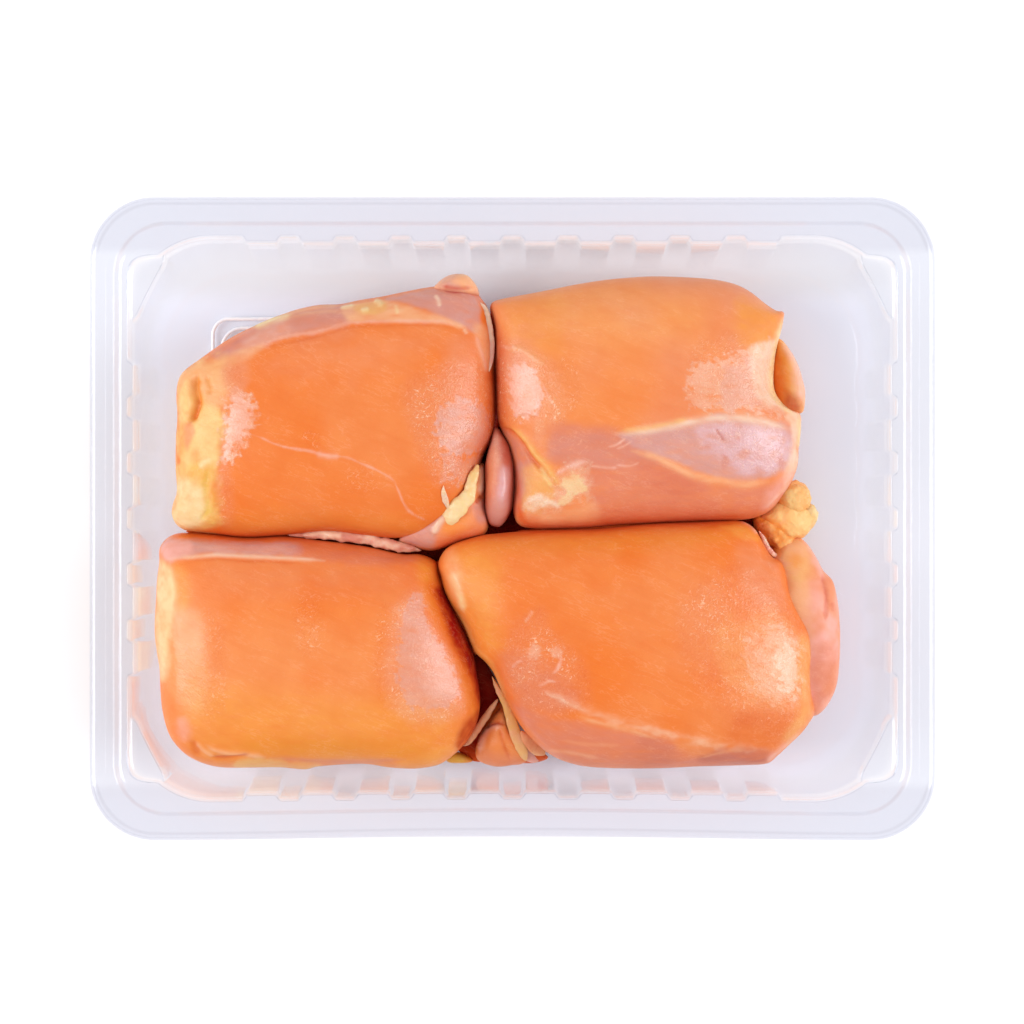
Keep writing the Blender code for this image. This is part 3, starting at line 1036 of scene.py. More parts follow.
@dataclass(frozen=True)
class BaseMark:
    """Two plain rounded frames raised on the tray's floor, one inside the other."""

    left: float = -85.9
    right: float = -50.0
    low: float = 32.0
    high: float = 57.2
    inset: float = 2.6
    corner: float = 4.6
    inner_corner: float = 6.0
    corner_points: int = 12
    floor: float = 1.6
    half_width: float = 0.5
    rise: float = 0.38
    stations: int = 320
    around: int = 16

    def frame(self, inset: float, radius: float) -> Array:
        """A rounded rectangle.

        Args:
            inset: How far it is inside the mark's outer sides.
            radius: Its corner radius.

        Returns:
            Its points, evenly spaced and counter-clockwise.
        """
        half = np.array([self.right - self.left, self.high - self.low]) / 2 - inset
        middle = np.array([self.right + self.left, self.high + self.low]) / 2
        quarter = np.linspace(0.0, np.pi / 2, self.corner_points)
        arcs = []
        for turn, sign in zip(np.arange(4) * np.pi / 2, ((1, 1), (-1, 1), (-1, -1), (1, -1))):
            arc = np.column_stack([np.cos(quarter + turn), np.sin(quarter + turn)])
            arcs.append(middle + (half - radius) * sign + radius * arc)
        return even_spacing(np.vstack(arcs), self.stations, True)

    def build(self, material: bpy.types.Material) -> None:
        """Sweep a low oval bead along both frames.

        Args:
            material: The mark's finish.
        """
        turn = np.linspace(0.0, 2.0 * np.pi, self.around, endpoint=False)
        frames = (0.0, self.corner), (self.inset, self.inner_corner)
        for number, (inset, radius) in enumerate(frames, start=1):
            line = self.frame(inset, radius)
            forward = np.roll(line, -1, axis=0) - np.roll(line, 1, axis=0)
            forward /= np.linalg.norm(forward, axis=1, keepdims=True)
            side = np.column_stack([forward[:, 1], -forward[:, 0]])
            flat = line[:, None, :] + side[:, None, :] * (self.half_width * np.cos(turn))[None, :, None]
            tall = np.broadcast_to(self.floor + self.rise * np.sin(turn), (self.stations, self.around))
            grid = np.concatenate([flat, tall[:, :, None]], axis=2)
            index = np.arange(self.stations * self.around).reshape(self.stations, self.around)
            after, beside = np.roll(index, -1, axis=0), np.roll(index, -1, axis=1)
            quads = np.stack([index, after, np.roll(after, -1, axis=1), beside], axis=-1)
            faces = [tuple(quad) for quad in quads.reshape(-1, 4).tolist()]
            make_piece(f"base_mark_{number}", grid.reshape(-1, 3), faces, material)


LIGHT_GAIN = 1.15
PIXEL = 0.2712
PHOTO_MIDDLE = 512.0


class Tone(Enum):
    """Display colours that parts of raw meat show in soft light, with the colours of painted highlights and
    painted shade among them.
    """

    ORANGE = (246, 126, 46)
    WARM = (248, 146, 79)
    APRICOT = (246, 139, 72)
    HONEY = (254, 186, 112)
    GLOW = (252, 152, 60)
    # Painted shade: dark reds laid in the gaps between thighs, along their edges and in creases
    GARNET = (168, 16, 2)
    RUST = (200, 62, 6)
    AMBER = (250, 158, 68)
    # Painted highlights: laid where the lamps' reflection shows on the wet meat
    GLOSS = (233, 168, 148)
    WARM_GLOSS = (250, 196, 166)
    GOLDEN = (243, 146, 50)
    SALMON = (243, 150, 104)
    ROSE = (230, 134, 102)
    ROSE_MAUVE = (222, 140, 118)
    MAUVE = (220, 158, 146)
    PALE_MAUVE = (236, 190, 192)
    DARK_MAUVE = (198, 104, 84)
    BLUSH = (251, 188, 164)
    PINK = (250, 176, 158)
    FAT = (251, 208, 136)
    PALE_FAT = (252, 219, 162)
    GOLD = (249, 184, 104)
    YELLOW = (240, 186, 76)
    SINEW = (252, 214, 182)
    PEACH = (252, 182, 132)
    # Deep orange: mostly laid as painted shade along gaps, creases and hollows
    DEEP = (226, 92, 24)
    RED = (205, 62, 40)
    # Painted shade: the darkest red, for the fills deep in the gaps
    CREVICE = (178, 52, 20)

    def albedo(self) -> Array:
        """Surface colour that shows as this tone under the studio's light."""
        return np.array(linear(*self.value)) / LIGHT_GAIN


def px(*flat: float) -> Array:
    """Points on the rim's plane, from pairs of photograph coordinates, 1024 to a side."""
    pairs = np.array(flat, dtype=float).reshape(-1, 2)
    return np.column_stack([(pairs[:, 0] - PHOTO_MIDDLE) * PIXEL, (PHOTO_MIDDLE - pairs[:, 1]) * PIXEL])


def carried_down(seen: Array, z: Array | float) -> Array:
    """Points at a height that the camera sees where the given points on the rim's plane are."""
    scale = (RIM_HEIGHT + CAMERA_RISE - np.asarray(z, dtype=float)) / CAMERA_RISE
    return seen * np.reshape(scale, (-1, 1)) + np.array([CAMERA_X, CAMERA_Y])


@dataclass(frozen=True)
class Patch:
    """A soft-edged field of a tone on the meat, with its outline where it shows on the rim's plane."""

    outline: Array
    tone: Tone
    share: float = 1.0
    soft: float = 1.2
    relief: float = 0.0
    ragged: float = 0.5
    fatty: float = 0.0
    wet: float | None = None
    sparkle: float | None = None
    streak: float = 0.25
    field: int = 0
    route_steps: int = 5
    soft_reach: float = 1.5
    ragged_reach: float = 2.0

    def reach(self) -> float:
        """How far outside its outline the patch shows."""
        return self.soft_reach * self.soft + self.ragged_reach * self.ragged

    def mask(self, seen: Array, ragged: Array) -> Array:
        """Share of the patch at each point: 1 inside, eased to 0 across its ragged edge.

        Args:
            seen: Where the points show on the rim's plane.
            ragged: Noise that moves the edge.

        Returns:
            The shares.
        """
        route = smooth_route(self.outline, self.route_steps, True)
        gap, _ = distance_to_route(seen, np.vstack([route, route[:1]]))
        signed = np.where(inside_route(seen, route), gap, -gap) + self.ragged * ragged
        return smoothstep(0.5 + 0.5 * signed / self.soft)


@dataclass(frozen=True)
class Line:
    """A vein, sinew or crease along a route, or a stroke of painted shade or painted highlight, tapered to
    its ends.
    """

    route: Array
    tone: Tone
    width: float = 0.5
    share: float = 1.0
    relief: float = 0.0
    ragged: float = 0.12
    fatty: float = 0.0
    wet: float | None = None
    sparkle: float | None = None
    streak: float = 0.3
    field: int = 1
    route_steps: int = 5
    width_reach: float = 2.6
    ragged_reach: float = 3.0
    taper_slope: float = 6.0
    taper_start: float = 0.15
    end_width: float = 0.35
    end_share: float = 0.25

    @property
    def outline(self) -> Array:
        """The points that bound where the line shows."""
        return self.route

    def reach(self) -> float:
        """How far from its route the line shows."""
        return self.width_reach * self.width + self.ragged_reach * self.ragged

    def mask(self, seen: Array, ragged: Array) -> Array:
        """Share of the line at each point: a bell across its width, thinner towards its ends.

        Args:
            seen: Where the points show on the rim's plane.
            ragged: Noise that moves the line's sides.

        Returns:
            The shares.
        """
        gap, along = distance_to_route(seen, smooth_route(self.route, self.route_steps, False))
        taper = smoothstep(self.taper_slope * np.minimum(along, 1.0 - along) + self.taper_start)
        width = self.width * (self.end_width + (1.0 - self.end_width) * taper)
        bell = np.exp(-(((gap + self.ragged * ragged) / width) ** 2))
        return bell * (self.end_share + (1.0 - self.end_share) * taper)


Mark = Patch | Line


@dataclass
class Skin:
    """Tint, fattiness, wetness and relief that gather over a piece's points."""

    points: Array
    seed: int
    tint: Array = field(init=False)
    fatty: Array = field(init=False)
    wet: Array = field(init=False)
    sparkle: Array = field(init=False)
    relief: Array = field(init=False)
    edge_cells: tuple[float, ...] = (4.0, 2.2, 1.1)
    ground_gain: float = 0.6
    ground_sparkle: float = 0.06
    streak_squash: float = 0.35
    streak_cell: float = 1.4
    streak_seed: int = 20
    shares: tuple[str, ...] = ("fatty", "wet", "sparkle")

    def __post_init__(self) -> None:
        """Start with nothing drawn."""
        count = len(self.points)
        self.tint = np.zeros((count, 3))
        for name in (*self.shares, "relief"):
            setattr(self, name, np.zeros(count))

    def ground(self, tones: tuple[Tone, Tone], cell: float, wet: float, fatty: float = 0.0) -> None:
        """Cover everything with two tones, blended by broad noise.

        Args:
            tones: The two tones.
            cell: Size of the noise in millimetres.
            wet: How wet it is.
            fatty: How fatty it is.
        """
        first, second = (tone.albedo() for tone in tones)
        noise = layered_noise(self.points, cell, self.seed)
        share = smoothstep(0.5 + self.ground_gain * noise)[:, None]
        self.tint = first * (1.0 - share) + second * share
        self.wet[:] = wet
        self.fatty[:] = fatty
        self.sparkle[:] = self.ground_sparkle

    def draw(self, marks: tuple[Mark, ...]) -> None:
        """Lay each mark over what is there, in order.

        Args:
            marks: The marks.
        """
        seen = seen_on_rim(self.points)
        cells = enumerate(self.edge_cells)
        fields = [layered_noise(self.points, cell, self.seed + number) for number, cell in cells]
        stretched = self.points * np.array([self.streak_squash, 1.0, 1.0])
        streaks = layered_noise(stretched, self.streak_cell, self.seed + self.streak_seed, 2)
        for mark in marks:
            low, high = mark.outline.min(axis=0) - mark.reach(), mark.outline.max(axis=0) + mark.reach()
            near = np.nonzero(np.all((seen > low) & (seen < high), axis=1))[0]
            whole = mark.mask(seen[near], fields[mark.field][near])
            mask = whole * mark.share * np.clip(1.0 - mark.streak * (0.5 + streaks[near]), 0.0, 1.0)
            self.tint[near] += (mark.tone.albedo() - self.tint[near]) * mask[:, None]
            self.relief[near] += mark.relief * whole
            self.fatty[near] += (mark.fatty - self.fatty[near]) * mask
            if mark.wet is not None:
                self.wet[near] += (mark.wet - self.wet[near]) * whole
            if mark.sparkle is not None:
                self.sparkle[near] += (mark.sparkle - self.sparkle[near]) * whole

    def dress(self, piece: bpy.types.Object) -> None:
        """Store what was gathered in the piece's attributes.

        Args:
            piece: The piece that the skin is for.
        """
        store_colours(piece, "tint", np.clip(self.tint, 0.0, 1.0))
        for name in self.shares:
            store_values(piece, name, np.clip(getattr(self, name), 0.0, 1.0))

    def add_poles(self, columns: int) -> None:
        """Give the two poles of a grid the means of the rows beside them.

        Args:
            columns: Number of the grid's columns.
        """
        for name in ("tint", *self.shares):
            gathered = getattr(self, name)
            first, last = gathered[:columns].mean(axis=0), gathered[-columns:].mean(axis=0)
            setattr(self, name, np.concatenate([gathered, [first], [last]]))


def close_grid(
    name: str, grid: Array, skin: Skin, material: bpy.types.Material
) -> bpy.types.Object:
    """Make a piece of a grid of closed rings and its two poles, and dress it with its skin.

    Args:
        name: The piece's name.
        grid: Rings of points, rows by columns by 3.
        skin: What is drawn on the grid's points.
        material: Its finish.

    Returns:
        The new piece.
    """
    rows, columns = grid.shape[:2]
    count = rows * columns
    poles = np.array([grid[0].mean(axis=0), grid[-1].mean(axis=0)])
    points = np.concatenate([grid.reshape(-1, 3), poles])
    faces = grid_faces(rows, columns)
    faces += cap_faces(np.arange(columns), count, True)
    faces += cap_faces(np.arange(columns) + (rows - 1) * columns, count + 1, False)
    piece = make_piece(name, points, faces, material)
    skin.add_poles(columns)
    skin.dress(piece)
    return piece


MEAT_FLOOR = 2.05
MEAT_GAP = 0.45


def keep_in_tray(points: Array, tray: Tray) -> Array:
    """Push points that come too near the ribs or the floor panel back inside the tray.

    Args:
        points: The points, one row each.
        tray: The tray.

    Returns:
        The points in their new places.
    """
    points = points.copy()
    points[:, 2] = np.maximum(points[:, 2], MEAT_FLOOR)
    half, radius = tray.wall_limits(points[:, 2], MEAT_GAP)
    beyond = np.maximum(np.abs(points[:, :2]) - (half - radius[:, None]), 0.0)
    reach = np.hypot(beyond[:, 0], beyond[:, 1])
    shrink = np.minimum(1.0, radius / np.maximum(reach, TINY))
    points[:, :2] = np.sign(points[:, :2]) * (np.abs(points[:, :2]) - beyond * (1.0 - shrink[:, None]))
    return points


@dataclass(frozen=True)
class Mound:
    """A soft mass of meat over an outline, given where it shows on the rim's plane; the dark ones are fills
    of painted shade in gaps.

    It is widest at one height and closes below and above in rounded shoulders.
    """

    name: str
    outline: Array
    crown: Array
    top: float
    widest: float
    low: float = MEAT_FLOOR
    grounds: tuple[Tone, Tone] = (Tone.ORANGE, Tone.WARM)
    marks: tuple[Mark, ...] = ()
    seed: int = 1
    power: float = 0.62
    sides: int = 128
    top_rows: int = 34
    low_rows: int = 14
    swell: float = 0.25
    swell_cell: float = 6.0
    lumpy: float = 0.0
    lump_cell: float = 3.4
    fatty: float = 0.0
    wet: float = 0.16
    melt: float = 0.24
    ground_cell: float = 6.0
    hold: float = 0.25
    lowest_angle: float = -89.5
    highest_angle: float = 89.8
    fine_angles: int = 2000
    route_steps: int = 24
    melt_range: float = 1.2
    melt_power: float = 1.5
    fat_lumps: float = 0.16
    swell_seed: int = 5
    lump_seed: int = 9

    def rows(self, width: float) -> Array:
        """Angles of the rows, spread evenly by length over the side view.

        Args:
            width: The outline's mean distance from its middle.

        Returns:
            The angles in radians, from the lowest row to the highest.
        """
        fine = np.radians(np.linspace(self.lowest_angle, self.highest_angle, self.fine_angles))
        across = np.cos(fine) ** self.power * width
        rise = np.abs(np.sin(fine)) ** ((1.0 + self.power) / 2)
        up = np.where(fine > 0.0, (self.top - self.widest) * rise, (self.low - self.widest) * rise)
        length = length_along(np.column_stack([across, up]))
        level = float(np.interp(0.0, fine, length))
        lower = np.linspace(0.0, level, self.low_rows, endpoint=False)
        upper = np.linspace(level, length[-1], self.top_rows)
        return np.interp(np.concatenate([lower, upper]), length, fine)

    def rim(self) -> Array:
        """The outline where the mound is widest, evenly spaced and counter-clockwise.

        Returns:
            Its points.
        """
        route = smooth_route(carried_down(self.outline, self.widest), self.route_steps, True)
        x, y = route.T
        if np.sum(x * np.roll(y, -1) - y * np.roll(x, -1)) < 0.0:
            route = route[::-1]
        return even_spacing(route, self.sides, True)

    def grid(self) -> Array:
        """The mound as a grid of rings.

        A row at angle a draws the outline to the crown by cos(a) to the power, and rises by sin(a) to a
        power halfway between that one and 1. The higher the row, the more of the outline's short waves
        are damped, so its corners melt away towards the crown.

        Returns:
            The points, rows by columns by 3.
        """
        outline = self.rim()
        crown = carried_down(self.crown, self.top)[0]
        middle = outline.mean(axis=0)
        angle = self.rows(float(np.linalg.norm(outline - middle, axis=1).mean()))
        draw = np.cos(angle) ** self.power
        rise = np.sign(angle) * np.abs(np.sin(angle)) ** ((1.0 + self.power) / 2)
        span = np.where(angle > 0.0, self.top - self.swell - self.widest, self.widest - self.low)
        upper = np.clip(angle / (np.pi / 2), 0.0, 1.0)[:, None]
        centre = middle + (crown - middle) * upper
        waves = [np.fft.rfft(offset) for offset in (outline - middle).T]
        order = np.arange(len(waves[0]))
        blur = self.melt * smoothstep(np.abs(angle) / self.melt_range) ** self.melt_power
        keep = np.exp(-((order[None, :] * blur[:, None]) ** 2))
        rings = np.stack([np.fft.irfft(wave[None, :] * keep, len(outline), axis=1) for wave in waves], axis=2)
        flat = centre[:, None, :] + (middle + rings - centre[:, None, :]) * draw[:, None, None]
        tall = np.broadcast_to((self.widest + span * rise)[:, None, None], (*flat.shape[:2], 1))
        return np.concatenate([flat, tall], axis=2)

    def build(
        self, prefix: str, slot: str, tray: Tray, material: bpy.types.Material
    ) -> tuple[bpy.types.Object, Array]:
        """Make the mound with its drawn marks, its swells and its lumps.

        Args:
            prefix: Start of the piece's name.
            slot: Not used.
            tray: The tray that it stays inside.
            material: The meat's finish.

        Returns:
            The new piece, and its points for what lies on it.
        """
        grid = self.grid()
        points = grid.reshape(-1, 3)
        skin = Skin(points, self.seed)
        skin.ground(self.grounds, self.ground_cell, self.wet, self.fatty)
        skin.draw(self.marks)
        height = points[:, 2]
        reach = np.where(height > self.widest, self.top - self.widest, self.widest - self.low)
        free = self.hold + (1.0 - self.hold) * smoothstep(np.abs(height - self.widest) / (0.5 * reach))
        swell = layered_noise(points, self.swell_cell, self.seed + self.swell_seed, 2)
        lumps = layered_noise(points, self.lump_cell, self.seed + self.lump_seed, 2)
        lumps *= self.lumpy + self.fat_lumps * skin.fatty
        out = free * self.swell * swell + lumps + skin.relief
        moved = points + grid_normals(grid).reshape(-1, 3) * out[:, None]
        moved[:, 2] = np.minimum(moved[:, 2], self.top)
        moved = keep_in_tray(moved, tray)
        piece = close_grid(f"{prefix}_{self.name}", moved.reshape(grid.shape), skin, material)
        return piece, moved


@dataclass(frozen=True)
class Strand:
    """A strip of sinew, fat or skin that lies on the meat or hangs in a gap, or a dark strip of painted shade
    in a gap, drawn on the rim's plane.
    """

    name: str
    route: Array
    widths: tuple[float, ...]
    thick: float = 0.5
    lift: float = 0.0
    heights: tuple[float, ...] = ()
    grounds: tuple[Tone, Tone] = (Tone.SINEW, Tone.PEACH)
    seed: int = 1
    stations: int = 90
    around: int = 26
    rough: float = 0.12
    rough_cell: float = 1.6
    fatty: float = 0.3
    wet: float = 0.6
    route_steps: int = 12
    kernel: tuple[float, ...] = (1.0, 2.0, 3.0, 2.0, 1.0)
    end_power: int = 6
    end_width: float = 0.02
    ground_cell: float = 3.0
    rough_seed: int = 3

    def heights_on(self, bed: Array, line: Array) -> Array:
        """Smoothed heights of the bed's upper points that show nearest to a line.

        Args:
            bed: Points that the strand lies on.
            line: Where the strand's stations show on the rim's plane.

        Returns:
            A height for each station.
        """
        upper = bed[bed[:, 2] > np.median(bed[:, 2]) * 0.5]
        shown = seen_on_rim(upper)
        near = np.array([np.argmin(np.sum((shown - spot) ** 2, axis=1)) for spot in line])
        kernel = np.array(self.kernel) / sum(self.kernel)
        return np.convolve(np.pad(upper[near, 2], len(kernel) // 2, mode="edge"), kernel, mode="valid")

    def middle(self, bed: Array) -> Array:
        """The strand's middle line: at given heights, or on the bed.

        Args:
            bed: Points that it lies on where it has no heights of its own.

        Returns:
            Its points and half widths, four values to a row.
        """
        keys = np.column_stack([self.route, self.widths, self.heights or np.zeros(len(self.route))])
        line = even_spacing(smooth_route(keys, self.route_steps, False), self.stations, False)
        height = line[:, 3] if self.heights else self.heights_on(bed, line[:, :2])
        return np.column_stack([carried_down(line[:, :2], height), height + self.lift, line[:, 2]])

    def build(
        self, prefix: str, slot: str, bed: Array, tray: Tray, material: bpy.types.Material
    ) -> bpy.types.Object:
        """Sweep a flat oval along the middle line, drawn to a point at both ends.

        Args:
            prefix: Start of the piece's name.
            slot: Not used.
            bed: Points of the meat that the strand lies on.
            tray: The tray that it stays inside.
            material: The meat's finish.

        Returns:
            The new piece.
        """
        middle = self.middle(bed)
        share = np.linspace(-1.0, 1.0, self.stations)
        close = np.sqrt(1.0 - np.abs(share) ** self.end_power) + self.end_width
        forward = np.gradient(middle[:, :3], axis=0)
        forward /= np.linalg.norm(forward, axis=1, keepdims=True)
        side = np.cross(forward, np.array([0.0, 0.0, 1.0]))
        side /= np.linalg.norm(side, axis=1, keepdims=True)
        up = np.cross(side, forward)
        turn = np.linspace(0.0, 2.0 * np.pi, self.around, endpoint=False)
        wide = (middle[:, 3] * close)[:, None, None] * np.cos(turn)[None, :, None]
        tall = (self.thick * close)[:, None, None] * np.sin(turn)[None, :, None]
        grid = middle[:, None, :3] + side[:, None, :] * wide + up[:, None, :] * tall
        points = grid.reshape(-1, 3)
        skin = Skin(points, self.seed)
        skin.ground(self.grounds, self.ground_cell, self.wet, self.fatty)
        rough = self.rough * layered_noise(points, self.rough_cell, self.seed + self.rough_seed, 2)
        moved = points - grid_normals(grid).reshape(-1, 3) * rough[:, None]
        moved[:, 2] = np.minimum(moved[:, 2], RIM_HEIGHT)
        moved = keep_in_tray(moved, tray)
        return close_grid(f"{prefix}_{self.name}", moved.reshape(grid.shape)[::-1], skin, material)


@dataclass(frozen=True)
class Thigh:
    """One raw thigh folded on itself: its body, the folds fused to it and the strands that lie on it."""

    node: str
    body: Mound
    folds: tuple[Mound, ...] = ()
    strands: tuple[Strand, ...] = ()

    @property
    def slot(self) -> str:
        """The record's material slot for this thigh."""
        return self.node.replace("thigh", "flesh")

    def build(self, tray: Tray, material: bpy.types.Material) -> None:
        """Make every piece, with the body in the place of the CAD node.

        Args:
            tray: The tray that the meat stays inside.
            material: The meat's finish.
        """
        prefix = self.node.replace("thigh_", "")
        piece, bed = self.body.build(prefix, self.slot, tray, material)
        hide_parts(self.node)
        for fold in self.folds:
            fold.build(prefix, self.slot, tray, material)
        for strand in self.strands:
            strand.build(prefix, self.slot, bed, tray, material)


BODY_GRID: dict[str, int | float] = {
    "sides": 600, "top_rows": 130, "low_rows": 22, "swell": 0.4, "swell_cell": 19.0, "ground_cell": 22.0
}


